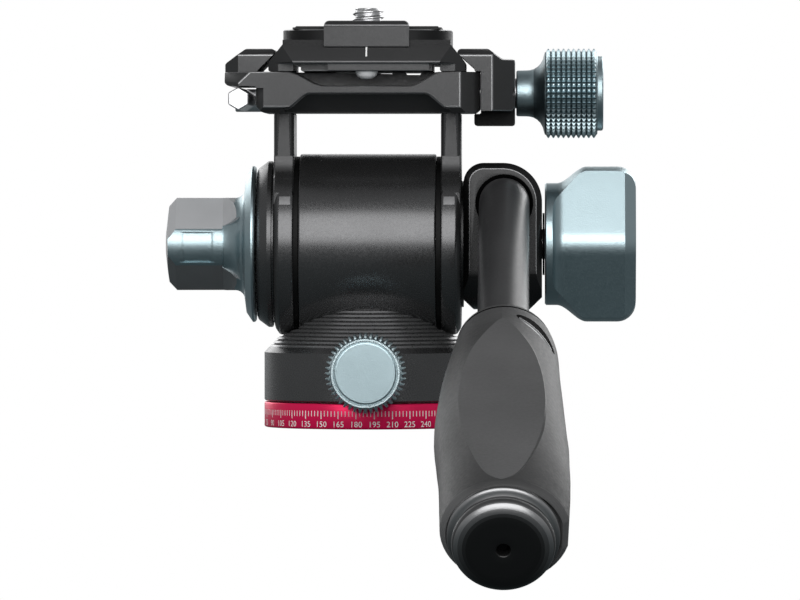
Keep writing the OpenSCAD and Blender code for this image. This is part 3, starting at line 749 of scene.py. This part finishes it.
def handle_socket():
    """Socket block: chamfered outline whose thin outer chamfer band wears the pale metal as a painted highlight line,
    rounded below, bored for the rod and the axis.
    """
    face = [(21.1, 23.5), (32.2, 23.5), (34.7, 26.0)] + arc_points(26.9, 44.9, 7.8, 0, 90, 28) + arc_points(23.1, 48.7, 4.0, 90, 180, 18) + [(19.1, 25.5)]
    rows = [(t, inset(face, d)) for t, d in ((-12.0, 1.24), (-11.93, 1.08), (-10.9, 0.0), (10.9, 0.0), (11.93, 1.08), (12.0, 1.24))]
    ob = prism("handle_bracket_skin", rows, [SOCKET, JET, PALE_METAL_AND_PAINTED_LIGHT], {0: 2, 4: 2}, lambda u, v, t: (u, t, v))
    side = [(-14.0, 18.0)] + arc_points(-4.0, -5.0, 8.0, 180, 270, 16) + arc_points(4.0, -5.0, 8.0, 270, 360, 16) + [(14.0, 18.0)]
    side = [(-14.0, 18.0), (-14.0, 2.0), (-12.02, -2.0)] + side[1:-1] + [(12.02, -2.0), (14.0, 2.0), (14.0, 18.0)]
    carve(ob, prism("side_tool", [(10.0, side), (45.0, side)], [SOCKET], {}, lambda u, v, t: (t, u, v + TILT_Z)), True, 0)
    carve(ob, revolve("bore_tool", [(0.0, -16.0), (6.6, -16.0), (5.75, -12.0), (5.06, -11.2), (5.06, 8.0), (0.0, 8.0)], "Y", (HANDLE_X, 0.0, ROD_Z), [JET], n=96))
    carve(ob, revolve("axis_tool", [(0.0, 10.0), (3.03, 10.0), (3.03, 40.0), (0.0, 40.0)], "X", PIVOT, [JET], n=64))
    carve(ob, revolve("pin_tool", [(0.0, ROD_Z), (1.5, ROD_Z), (1.5, 56.0), (0.0, 56.0)], "Z", (HANDLE_X, 2.0, 0.0), [JET], n=48))
    shade(ob, 24.0)
    return stand_for(ob, "handle_bracket")


handle_socket()


def wing_knob():
    """Turned knob with four flats, each with a cove at the flange and an end chamfer;
    the ridges between two flats are rounded."""
    lean, ridge = math.radians(21.5), 6.5

    def outer(x):
        if x < 35.55:
            return 11.9 + (x - 35.25)
        if x < 37.6:
            return 12.2
        if x < 43.6:
            u = (x - 37.6) / 6.0
            return 12.2 + 3.3 * u * u * (3 - 2 * u)
        if x < 49.7:
            return 15.5
        return 11.8 + math.sqrt(max(0.0, 3.7 ** 2 - (x - 49.7) ** 2))

    def flat(x):
        if x <= 36.7:
            return 99.0
        if x < 39.3:
            return 12.75 - math.sqrt(max(0.0, 2.6 ** 2 - (39.3 - x) ** 2))
        return 10.15 if x <= 51.2 else 10.15 - 0.84 * (x - 51.2)

    xs = [35.25, 35.55, 36.2, 36.7] + [36.7 + 2.6 * (1 - math.cos(math.radians(90.0 * i / 16))) for i in range(1, 16)]
    xs += [39.3, 39.5] + [39.5 + 4.1 * i / 14 for i in range(1, 14)] + [43.6, 43.9, 46.5, 49.4, 49.7]
    xs += [50.2, 50.7, 51.1, 51.2, 51.3] + [49.7 + 3.7 * math.sin(math.radians(a)) for a in (30, 40, 50, 58, 66, 74, 82)] + [53.4]
    xs = sorted(x for x in xs)
    verts, faces = [], []
    na, nb, nc = 8, 8, 10
    for x in xs:
        r, d = outer(x), flat(x)
        c = (d - ridge) / math.cos(lean)
        top = min(r, c + ridge) if d < 90 else r
        if d < r - 0.004:
            turn = math.acos(d / r)
            hi = lean + turn
            lo = math.atan2(ridge * math.sin(lean), c + ridge * math.cos(lean)) if top < r - 1e-6 else max(lean - turn, 0.02)
        else:
            hi, lo = lean + 0.004, lean - 0.004
        quarter = []
        for i in range(na):
            a = lo * i / na
            q = c * math.cos(a) + math.sqrt(max(0.0, ridge ** 2 - (c * math.sin(a)) ** 2)) if top < r - 1e-6 else r
            quarter.append((a, min(q, r)))
        for i in range(nb):
            a = lo + (hi - lo) * i / nb
            quarter.append((a, min(r, d / math.cos(a - lean))))
        for i in range(nc + 1):
            a = hi + (math.pi / 2 - hi) * i / nc
            quarter.append((a, r))
        full = [(a, q) for a, q in quarter]
        full += [(math.pi - a, q) for a, q in reversed(quarter[:-1])]
        full += [(math.pi + a, q) for a, q in quarter[1:]]
        full += [(2 * math.pi - a, q) for a, q in reversed(quarter[1:-1])]
        for a, q in full:
            verts.append((x, -q * math.cos(a), TILT_Z + q * math.sin(a)))
        n = len(full)
    for i in range(len(xs) - 1):
        for j in range(n):
            k = (j + 1) % n
            faces.append([i * n + j, (i + 1) * n + j, (i + 1) * n + k, i * n + k])
    faces.append(list(range(n)))
    faces.append(list(reversed(range((len(xs) - 1) * n, len(xs) * n))))
    ob = new_object("handle_lock_knob_skin", verts, faces, [TEAL])
    tidy(ob, 3e-6)
    shade(ob, 21)
    return stand_for(ob, "handle_lock_knob")


wing_knob()


# ------------------------------------------------------------- clamp knob
def knurled_knob():
    """Turned knob: neck, flare, a band of square pyramids, end boss; the flare and the pyramids' lower sides wear
    painted shade, their tops painted highlight.
    """
    ox = 0.0
    oz = 66.6
    neck = [(3.05, 29.55), (4.35, 29.55), (4.58, 29.78), (4.6, 31.6), (4.66, 32.3), (4.85, 33.0), (5.25, 33.7), (5.9, 34.35), (6.8, 34.85), (7.8, 35.1), (8.2, 35.25), (8.3, 35.45)]
    tail = [(8.3, 45.55), (8.1, 45.75), (7.5, 45.75), (7.45, 45.85), (7.45, 46.55), (7.35, 46.75), (7.1, 46.9), (6.6, 46.92), (6.5, 46.8), (0.0, 46.8)]
    verts, faces, idx = [], [], []
    n = 200

    def ring(r, x, m):
        b = len(verts)
        for j in range(m):
            a = 2 * math.pi * j / m
            verts.append((x, r * math.cos(a), oz + r * math.sin(a)))
        return [b + j for j in range(m)]

    def bridge(a, b, k=0):
        m = len(a)
        for j in range(m):
            faces.append([a[j], a[(j + 1) % m], b[(j + 1) % m], b[j]])
            idx.append(k)

    rows = [ring(r, x, n) for r, x in neck]
    # The flare's rows, from the sixth on, wear the deeper teal as painted shade.
    for i, (a, b) in enumerate(zip(rows, rows[1:])):
        bridge(a, b, 2 if i >= 5 else 0)
    # band of pyramids: four ring vertices per cell on both borders
    cells, lines = 50, 10
    x0, x1 = 35.45, 45.55
    dx = (x1 - x0) / lines
    border0 = rows[-1]
    grid = [[None] * cells for _ in range(lines + 1)]
    for u in range(lines + 1):
        for c in range(cells):
            if u == 0:
                grid[u][c] = border0[c * 4]
            else:
                a = 2 * math.pi * c / cells
                verts.append((x0 + u * dx, 8.3 * math.cos(a), oz + 8.3 * math.sin(a)))
                grid[u][c] = len(verts) - 1
    top = 0.10
    for u in range(lines):
        for c in range(cells):
            q = [grid[u][c], grid[u][(c + 1) % cells], grid[u + 1][(c + 1) % cells], grid[u + 1][c]]
            am = 2 * math.pi * (c + 0.5) / cells
            da = 2 * math.pi / cells * top
            xm = x0 + (u + 0.5) * dx
            b = len(verts)
            for sx, sa in ((-1, -1), (-1, 1), (1, 1), (1, -1)):
                a = am + sa * da
                verts.append((xm + sx * dx * top, 8.92 * math.cos(a), oz + 8.92 * math.sin(a)))
            t = [b, b + 1, b + 2, b + 3]
            m = []
            for k in range(4):
                lo, hi = verts[q[k]], verts[t[k]]
                verts.append(tuple(v + (w - v) * 0.27 for v, w in zip(lo, hi)))
                m.append(len(verts) - 1)
            for k in range(4):
                e0, e1 = q[k], q[(k + 1) % 4]
                if u == 0 and k == 0:
                    edge = [border0[(c * 4 + d) % n] for d in range(5)]
                    faces.append(edge + [m[1], m[0]])
                else:
                    faces.append([e0, e1, m[(k + 1) % 4], m[k]])
                # The lower band of each pyramid's sides wears the deeper teal, painted shade in the valleys.
                idx.append(2)
                faces.append([m[k], m[(k + 1) % 4], t[(k + 1) % 4], t[k]])
                idx.append(0)
            # Each pyramid's flat top wears the paler teal, a painted highlight.
            faces.append(t)
            idx.append(1)
    # end: a ring with the band's own corners, then the boss
    last = [grid[lines][c] for c in range(cells)]
    tr = [ring(r, x, n) for r, x in tail[1:-1]]
    for c in range(cells):
        faces.append([last[c], last[(c + 1) % cells]] + [tr[0][(c * 4 + d) % n] for d in (4, 3, 2, 1, 0)])
        idx.append(0)
    for a, b in zip(tr, tr[1:]):
        bridge(a, b)
    faces.append(list(reversed(tr[-1])))
    idx.append(0)
    faces.append(rows[0])
    idx.append(0)
    ob = new_object("clamp_knob_skin", verts, faces, [TEAL, TEAL_PAINTED_HIGHLIGHT, TEAL_PAINTED_SHADE])
    for p, k in zip(ob.data.polygons, idx):
        p.material_index = k
    tidy(ob)
    shade(ob, 27.0)
    return stand_for(ob, "clamp_knob")


knurled_knob()

# ----------------------------------------------------------- camera screw
PITCH = 1.27
thread0, thread1 = 79.3, 83.62
screw_profile = [(0.0, 71.4), (5.4, 71.4), (5.9, 71.9), (5.9, 75.9), (2.55, 75.9), (2.55, 79.2)]
steps = 110
screw_first = len(screw_profile)
screw_profile += [(3.17, thread0 + (thread1 - thread0) * i / steps) for i in range(steps + 1)]
screw_profile += [(0.0, thread1)]


def screw_thread(i, a, r):
    k = i - screw_first
    if k < 0 or k > steps:
        return r
    z = screw_profile[i][1]
    ph = (z / PITCH - a / (2 * math.pi)) % 1.0
    depth = (0.5 + 0.5 * math.cos(2 * math.pi * ph)) ** 1.3
    rr = r - 0.66 * depth
    lead = max(0.0, z - (thread1 - 0.62)) / 0.62
    return min(rr, r - 0.72 * lead) if lead > 0 else rr


cs = revolve("camera_screw_skin", screw_profile, "Z", (0, 0, 0), [BRIGHT], n=128, wobble=screw_thread, angle=70)
stand_for(cs, "camera_screw")

# ----------------------------------------------------------------- handle
HO = Vector((HANDLE_X, -13.0 - BEND_R * math.sin(HANDLE_SLOPE), ROD_Z - BEND_R * (1 - math.cos(HANDLE_SLOPE))))
HX = Vector((1.0, 0.0, 0.0))
HY = Vector((0.0, -math.sin(HANDLE_SLOPE), math.cos(HANDLE_SLOPE)))
HZ = Vector((0.0, -math.cos(HANDLE_SLOPE), -math.sin(HANDLE_SLOPE)))


def handle_point(x, y, s):
    p = HO + HX * x + HY * y + HZ * s
    return (p.x, p.y, p.z)


def rod():
    path = [(Vector((HANDLE_X, 7.8, ROD_Z)), Vector((0, 0, 1))), (Vector((HANDLE_X, -13.0, ROD_Z)), Vector((0, 0, 1)))]
    for i in range(1, 25):
        a = HANDLE_SLOPE * i / 24
        path.append((Vector((HANDLE_X, -13.0 - BEND_R * math.sin(a), ROD_Z - BEND_R * (1 - math.cos(a)))), Vector((0, -math.sin(a), math.cos(a)))))
    path.append((HO + HZ * (ROD_LEN + 4.0), HY))
    n = 96
    verts, faces = [], []
    for c, up in path:
        for j in range(n):
            a = 2 * math.pi * j / n
            p = c + HX * (4.99 * math.cos(a)) + up * (4.99 * math.sin(a))
            verts.append((p.x, p.y, p.z))
    for i in range(len(path) - 1):
        for j in range(n):
            k = (j + 1) % n
            faces.append([i * n + j, i * n + k, (i + 1) * n + k, (i + 1) * n + j])
    faces.append(list(range(n)))
    faces.append(list(reversed(range((len(path) - 1) * n, len(path) * n))))
    ob = new_object("handle_rod_skin", verts, faces, [ROD])
    tidy(ob)
    shade(ob, 40)
    return stand_for(ob, "handle_rod")


rod()

LEFT_R = [(0, 8.5), (0.5, 8.85), (1.2, 9.0), (4, 9.3), (7, 9.9), (10.5, 10.4), (16.5, 11.3), (26, 12.25), (34, 12.75), (38, 12.8), (47, 12.3), (55, 11.75), (61, 11.6), (70, 11.4)]
RIGHT_R = [(0, 8.9), (0.5, 9.3), (1.2, 9.55), (7, 10.6), (15, 10.95), (22, 11.35), (30, 11.8), (37, 12.2), (45, 12.75), (52, 13.2), (59, 13.5), (64, 13.35), (70, 12.8)]
TOP_FACET = [(8.1, 0.02), (9.0, 0.9), (11.0, 2.0), (14.7, 3.8), (20.4, 6.0), (25, 7.0), (29.7, 7.65), (38.4, 8.1), (48.8, 7.45), (55.5, 6.4), (60.2, 5.35), (64.5, 4.1), (67.5, 2.8), (69.2, 1.4), (70.0, 0.05)]
SIDE_FACET = (37.5, 78.0, 4.6)
TOP_DROP = [(0, 0.0), (36, 0.0), (48, 0.025), (58, 0.06), (70, 0.10)]


def grip():
    """Lofted sleeve with a long flat on top and a second one low on the right."""
    rows = [0.0, 0.25, 0.5, 0.85, 1.2, 1.5, 1.55, 2.1, 2.15, 2.4] + [2.4 + (GRIP_LEN - 2.4) * i / 136 for i in range(1, 137)]
    chord, arc_a, arc_b, side = 14, 40, 26, 10
    verts, faces = [], []

    def radius(s, a):
        l, r = smooth_steps(LEFT_R, s), smooth_steps(RIGHT_R, s)
        return (l + (r - l) * (1 + math.cos(a)) / 2) * (1 - smooth_steps(TOP_DROP, s) * math.sin(a) ** 2)

    def lens(s, facet):
        t = (s - facet[0]) / (facet[1] - facet[0])
        return 0.02 if t <= 0 or t >= 1 else max(0.02, facet[2] * math.sin(math.pi * t) ** 0.85)

    def section(s, shrink=0.0):
        """Ring of points at s: top chord, left arc, right facet chord, arc back to the top."""
        rt = radius(s, math.pi / 2)
        w = min(smooth_steps(TOP_FACET, s), rt * 0.9)
        h = math.sqrt(rt * rt - w * w)
        a1 = math.pi / 2 - math.asin(w / rt)
        a2 = math.pi / 2 + math.asin(w / rt)
        mid = math.radians(-2.0)
        rs = radius(s, mid)
        ws = min(lens(s, SIDE_FACET), rs * 0.8)
        half = math.asin(ws / rs)
        pts = []
        for i in range(chord):
            x = w - 2 * w * i / chord
            pts.append((x, h))
        for i in range(arc_a):
            a = a2 + (2 * math.pi + mid - half - a2) * i / arc_a
            r = radius(s, a)
            pts.append((r * math.cos(a), r * math.sin(a)))
        p0 = (radius(s, mid - half) * math.cos(mid - half), radius(s, mid - half) * math.sin(mid - half))
        p1 = (radius(s, mid + half) * math.cos(mid + half), radius(s, mid + half) * math.sin(mid + half))
        for i in range(side):
            t = i / side
            pts.append((p0[0] + (p1[0] - p0[0]) * t, p0[1] + (p1[1] - p0[1]) * t))
        for i in range(arc_b):
            a = mid + half + (a1 - mid - half) * i / arc_b
            r = radius(s, a)
            pts.append((r * math.cos(a), r * math.sin(a)))
        if shrink:
            pts = [(x * shrink, y * shrink) for x, y in pts]
        return pts

    rings = [(s, section(s, 0.955 if 1.52 < s < 2.12 else 0.0)) for s in rows]
    # end: rounded turn-in towards the cap, then back inside
    for ds, sh in ((0.3, 0.994), (0.7, 0.978), (1.1, 0.955), (1.5, 0.922), (1.6, 0.905)):
        rings.append((GRIP_LEN + ds, section(GRIP_LEN, sh)))
    rings.append((GRIP_LEN + 1.1, section(GRIP_LEN, 0.86)))
    n = len(rings[0][1])
    for s, pts in rings:
        for x, y in pts:
            verts.append(handle_point(x, y, ROD_LEN + s))
    for i in range(len(rings) - 1):
        for j in range(n):
            k = (j + 1) % n
            faces.append([i * n + j, i * n + k, (i + 1) * n + k, (i + 1) * n + j])
    # start: lip that turns in to the rod
    base = []
    for sh, s in ((0.93, -0.28), (0.86, -0.3), (0.80, -0.1), (0.78, 0.6)):
        b = len(verts)
        for x, y in section(0.0, sh):
            verts.append(handle_point(x, y, ROD_LEN + s))
        base.append(b)
    prev = 0
    for b in base:
        for j in range(n):
            k = (j + 1) % n
            faces.append([prev + k, prev + j, b + j, b + k])
        prev = b
    b = len(verts)
    for j in range(n):
        a = math.atan2(section(0.0)[j][1], section(0.0)[j][0])
        verts.append(handle_point(5.02 * math.cos(a), 5.02 * math.sin(a), ROD_LEN + 0.6))
    for j in range(n):
        k = (j + 1) % n
        faces.append([prev + k, prev + j, b + j, b + k])
    # close the sleeve: inner wall along the rod and the far end
    c = len(verts)
    for j in range(n):
        a = math.atan2(section(0.0)[j][1], section(0.0)[j][0])
        verts.append(handle_point(5.02 * math.cos(a), 5.02 * math.sin(a), ROD_LEN + GRIP_LEN + 1.1))
    for j in range(n):
        k = (j + 1) % n
        faces.append([b + k, b + j, c + j, c + k])
    last = (len(rings) - 1) * n
    for j in range(n):
        k = (j + 1) % n
        faces.append([last + j, last + k, c + k, c + j])
    ob = new_object("handle_grip_skin", verts, faces, [GRIP, JET, SLEEVE_LEFT_PAINTED_LIGHT, SLEEVE_RIGHT_PAINTED_LIGHT, GRIP_END_PAINTED_LIGHT])
    outside = (len(rings) - 1) * n
    # The sides take the left and right sleeve copies and the turned-in end the end copy: painted light and shade set
    # by place; the top flat keeps the plain rubber and the groove rows are jet black.
    for poly in ob.data.polygons:
        j = poly.index % n
        if 5 * n <= poly.index < 8 * n:
            poly.material_index = 1
        elif 145 * n <= poly.index < outside and not chord + 20 <= j < chord + arc_a - 3:
            poly.material_index = 4
        elif poly.index < outside and (j >= chord or poly.index >= 145 * n):
            poly.material_index = 2 if chord // 2 <= j < chord + arc_a // 2 else 3
    tidy(ob, 2e-6)
    return ob


def arc_tube(name, s0, s1, big0, big1, small, a0, a1, mats, n=40, m=20, taper=True):
    """Bent tube round the handle's axis, from angle a0 to a1."""
    verts, faces = [], []
    for i in range(n + 1):
        t = i / n
        a = math.radians(a0 + (a1 - a0) * t)
        w = small * (max(0.02, math.sin(math.pi * t)) ** 0.45 if taper else 1.0)
        s = s0 + (s1 - s0) * t
        big = big0 + (big1 - big0) * t
        for j in range(m):
            b = 2 * math.pi * j / m
            r = big + w * math.cos(b)
            verts.append(handle_point(r * math.sin(a), r * math.cos(a), ROD_LEN + s + w * 1.15 * math.sin(b)))
    for i in range(n):
        for j in range(m):
            k = (j + 1) % m
            faces.append([i * m + j, i * m + k, (i + 1) * m + k, (i + 1) * m + j])
    faces.append(list(reversed(range(m))))
    faces.append(list(range(n * m, (n + 1) * m)))
    ob = new_object(name, verts, faces, mats)
    tidy(ob)
    shade(ob, 40)
    return ob


grip_skin = grip()
carve(grip_skin, arc_tube("slot_tool", 6.2, 11.4, 10.7, 11.1, 2.0, 14.0, 66.0, [JET]))
carve(grip_skin, arc_tube("seam_tool", 11.0, 18.0, 11.0, 11.25, 0.38, 60.0, 60.1, [JET], taper=False))
shade(grip_skin, 9.0)
stand_for(grip_skin, "handle_grip")
loop = arc_tube("strap_pin", 6.9, 11.0, 9.75, 10.1, 0.5, 18.0, 62.0, [PALE_METAL_AND_PAINTED_LIGHT], taper=False)
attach(loop, "handle")


def end_cap():
    prof = [(1.28, 0.9), (9.9, 0.9), (10.3, 1.5), (10.45, 1.75), (10.5, 2.05), (10.42, 2.4), (10.15, 2.7), (9.7, 2.87), (9.1, 2.95), (9.0, 3.05), (8.95, 3.3), (8.95, 3.9),
            (9.3, 4.3), (9.55, 4.6), (9.62, 5.0)]
    for i in range(1, 19):
        a = math.radians(90.0 * i / 18)
        prof.append((5.6 + 4.02 * math.cos(a), 5.0 + 2.35 * math.sin(a)))
    prof += [(3.0, 7.35), (1.6, 7.35), (1.42, 7.28), (1.28, 7.05)]
    prof = [(r, GRIP_LEN + t) for r, t in prof]
    verts, faces, tone = [], [], []
    n = 160
    for r, s in prof:
        for j in range(n):
            a = 2 * math.pi * j / n
            verts.append(handle_point(0.4 + r * math.cos(a), r * math.sin(a), ROD_LEN + s))
    m = len(prof)
    for i in range(m):
        r = prof[i][0]
        mid = prof[i][1] > GRIP_LEN + 4.95
        for j in range(n):
            k = (j + 1) % n
            q = (i + 1) % m
            faces.append([i * n + j, i * n + k, q * n + k, q * n + j])
            # Dome rings by radius, and one shoulder ring, take the cap's tones: the bright ones are painted highlight
            # crescents, the deep ones painted shade.
            tone.append(sum(r < edge for edge in (9.35, 8.5, 7.9, 7.2)) if mid else 1 if 9.65 < r < 10.45 and prof[i][1] > GRIP_LEN + 2.2 else 0)
    ob = new_object("grip_end_cap_skin", verts, faces, CAP_PAINTED_LIGHT)
    for poly, k in zip(ob.data.polygons, tone):
        poly.material_index = k
    tidy(ob)
    shade(ob, 38)
    return stand_for(ob, "grip_end_cap")


end_cap()

# ------------------------------------------------------------ plate details
def pad_ribs():
    """Row of fine ribs moulded on the pad, cut to its outline and round the screw."""
    verts, faces = [], []

    def bar(x0, x1, y):
        b = len(verts)
        prof = [(-0.42, 79.5), (-0.2, 79.78), (0.2, 79.78), (0.42, 79.5)]
        for x, inset in ((x0, 0.0), (x0 + 0.25, 1.0), (x1 - 0.25, 1.0), (x1, 0.0)):
            for dy, z in prof:
                verts.append((x, y + dy, z if inset else 79.5))
        for i in range(3):
            for j in range(3):
                faces.append([b + i * 4 + j, b + i * 4 + j + 1, b + (i + 1) * 4 + j + 1, b + (i + 1) * 4 + j])
            faces.append([b + i * 4 + 3, b + i * 4, b + (i + 1) * 4, b + (i + 1) * 4 + 3])

    for k in range(-11, 13):
        y = k * 1.4
        if y < -14.6 or y > 17.0:
            continue
        over = max(0.0, y - 12.6)
        half = 14.3 if over <= 0 else 9.8 + math.sqrt(max(0.0, 4.5 ** 2 - over ** 2))
        if abs(y) < 7.6:
            gap = math.sqrt(7.7 ** 2 - y * y) + 0.3
            bar(-half, -gap, y)
            bar(gap, half, y)
        else:
            bar(-half, half, y)
    ob = new_object("pad_ribs", verts, faces, [PAD])
    tidy(ob)
    shade(ob, 30)
    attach(ob, "plate")
    return ob


pad_ribs()
dressed("plate_pad", [PAD], bevel=0.0)
# The stop screws wear the pale white as a painted highlight.
dressed("plate_stop_screws", [STOP_SCREW_PAINTED_HIGHLIGHT], bevel=0.0, shade_angle=50)


def index_line():
    """Short white line down the front slope of the plate, at its middle."""
    d = Vector((0.0, 2.4, 3.45)).normalized()
    nrm = Vector((0.0, -3.45, 2.4)).normalized()
    foot = Vector((0.0, -21.0, 72.65))
    verts, faces = [], []
    for t in (1.25, 4.05):
        for x in (-0.16, 0.16):
            for h in (-0.05, 0.03):
                p = foot + d * t + nrm * h + Vector((x, 0, 0))
                verts.append((p.x, p.y, p.z))
    for q in ((0, 1, 3, 2), (4, 6, 7, 5), (0, 4, 5, 1), (2, 3, 7, 6), (0, 2, 6, 4), (1, 5, 7, 3)):
        faces.append(list(q))
    ob = new_object("plate_index_line", verts, faces, [WHITE])
    tidy(ob)
    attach(ob, "plate")
    return ob


index_line()

# ---------------------------------------------- finishes of the CAD's own nodes
FINISH = {
    "base_plate": BLACK, "thread_bush": STEEL, "pan_spindle": STEEL, "base_screws": STEEL, "glide_ring": NYLON,
    "thrust_washer": BRASS, "pan_nut": STEEL, "pan_brake_shoe": BRASS, "drum_end_plates": STEEL,
    "damper_stators": STEEL, "drum_screws": STEEL, "pan_lock_screw": STEEL, "tilt_axle": STEEL,
    "damper_rotors": STEEL, "friction_rings": JET, "handle_rosette": BLACK, "handle_stud": STEEL,
    "arm_screws": STEEL, "jaw_guide_pins": STEEL, "tilt_lock_screw": STEEL, "rod_set_screw": STEEL,
    "grip_screw": JET, "handle_knob_washer": JET, "clamp_screw": STEEL,
}
for name, mat in FINISH.items():
    ob = nodes[name]
    if not ob.material_slots:
        ob.data.materials.append(mat)
    for sl in ob.material_slots:
        sl.link = "OBJECT"
        sl.material = mat

# ------------------------------------------------------------- floor and light
floor_me = bpy.data.meshes.new("floor")
floor_me.from_pydata([(-30, -30, -0.2), (30, -30, -0.2), (30, 30, -0.2), (-30, 30, -0.2)], [], [(0, 1, 2, 3)])
floor = bpy.data.objects.new("floor", floor_me)
scene.collection.objects.link(floor)
fm = bpy.data.materials.new("pale_floor")
fm.use_nodes = True
nt = fm.node_tree
nt.nodes.clear()
out = nt.nodes.new("ShaderNodeOutputMaterial")
mix = nt.nodes.new("ShaderNodeMixShader")
emit = nt.nodes.new("ShaderNodeEmission")
emit.inputs["Color"].default_value = (1, 1, 1, 1)
emit.inputs["Strength"].default_value = 1.0
clear = nt.nodes.new("ShaderNodeBsdfTransparent")
geo = nt.nodes.new("ShaderNodeNewGeometry")
nt.links.new(geo.outputs["Backfacing"], mix.inputs["Fac"])
nt.links.new(emit.outputs["Emission"], mix.inputs[1])
nt.links.new(clear.outputs["BSDF"], mix.inputs[2])
nt.links.new(mix.outputs["Shader"], out.inputs["Surface"])
floor_me.materials.append(fm)
floor.visible_diffuse = False
floor.visible_glossy = False
floor.visible_shadow = False

world = bpy.data.worlds.new("studio")
scene.world = world
world.use_nodes = True
wn = world.node_tree
wn.nodes.clear()
wout = wn.nodes.new("ShaderNodeOutputWorld")
wmix = wn.nodes.new("ShaderNodeMixShader")
path = wn.nodes.new("ShaderNodeLightPath")
dim = wn.nodes.new("ShaderNodeBackground")
dim.inputs["Strength"].default_value = 1.0
sky_at = wn.nodes.new("ShaderNodeTexCoord")
sky_axes = wn.nodes.new("ShaderNodeSeparateXYZ")
wn.links.new(sky_at.outputs["Generated"], sky_axes.inputs["Vector"])
sky_up = wn.nodes.new("ShaderNodeMapRange")
sky_up.inputs["From Min"].default_value = -1.0
sky_up.inputs["From Max"].default_value = 1.0
wn.links.new(sky_axes.outputs["Z"], sky_up.inputs["Value"])
sky = wn.nodes.new("ShaderNodeValToRGB")
while len(sky.color_ramp.elements) < 7:
    sky.color_ramp.elements.new(0.5)
for el, (pos, v) in zip(sky.color_ramp.elements, [(0.0, (0.06, 0.075, 0.08)), (0.3, (0.085, 0.105, 0.112)), (0.47, (0.26, 0.27, 0.275)), (0.52, (0.37, 0.38, 0.385)),
                                                  (0.72, (0.34, 0.345, 0.35)), (0.93, (0.30, 0.305, 0.31)), (1.0, (0.15, 0.15, 0.155))]):
    el.position = pos
    el.color = (*v, 1.0)
wn.links.new(sky_up.outputs["Result"], sky.inputs["Fac"])
wn.links.new(sky.outputs["Color"], dim.inputs["Color"])
pale = wn.nodes.new("ShaderNodeBackground")
pale.inputs["Color"].default_value = (1, 1, 1, 1)
pale.inputs["Strength"].default_value = 1.0
wn.links.new(path.outputs["Is Camera Ray"], wmix.inputs["Fac"])
wn.links.new(dim.outputs["Background"], wmix.inputs[1])
wn.links.new(pale.outputs["Background"], wmix.inputs[2])
wn.links.new(wmix.outputs["Shader"], wout.inputs["Surface"])

TARGET = Vector((0.005, 0.0, 0.04))


def softbox(name, az, el, dist, size, power, color=(1, 1, 1), roll=0.0, target=TARGET):
    """Rectangular soft light; azimuth 0 is the operator's side, 90 the handle's side."""
    la = bpy.data.lights.new(name, "AREA")
    la.shape = "RECTANGLE"
    la.size, la.size_y = size
    la.energy = power
    la.color = color
    ob = bpy.data.objects.new(name, la)
    scene.collection.objects.link(ob)
    a, e = math.radians(az), math.radians(el)
    d = Vector((math.sin(a) * math.cos(e), -math.cos(a) * math.cos(e), math.sin(e)))
    ob.location = target + d * dist
    ob.rotation_mode = "QUATERNION"
    q = (-d).to_track_quat("-Z", "Y")
    if roll:
        q = q @ Matrix.Rotation(math.radians(roll), 4, "Z").to_quaternion()
    ob.rotation_quaternion = q
    ob.visible_camera = False
    return ob


softbox("key_front", 0, 21.7, 0.9, (1.26, 0.63), 7.5)
softbox("backdrop", 180, 9, 1.2, (2.4, 0.42), 3.2)
softbox("rim_right", 146, 26, 1.0, (0.5, 0.7), 3.2)
softbox("rim_left", -146, 22, 1.0, (0.5, 0.6), 1.6)

scene.view_settings.view_transform = "Standard"
scene.view_settings.look = "None"
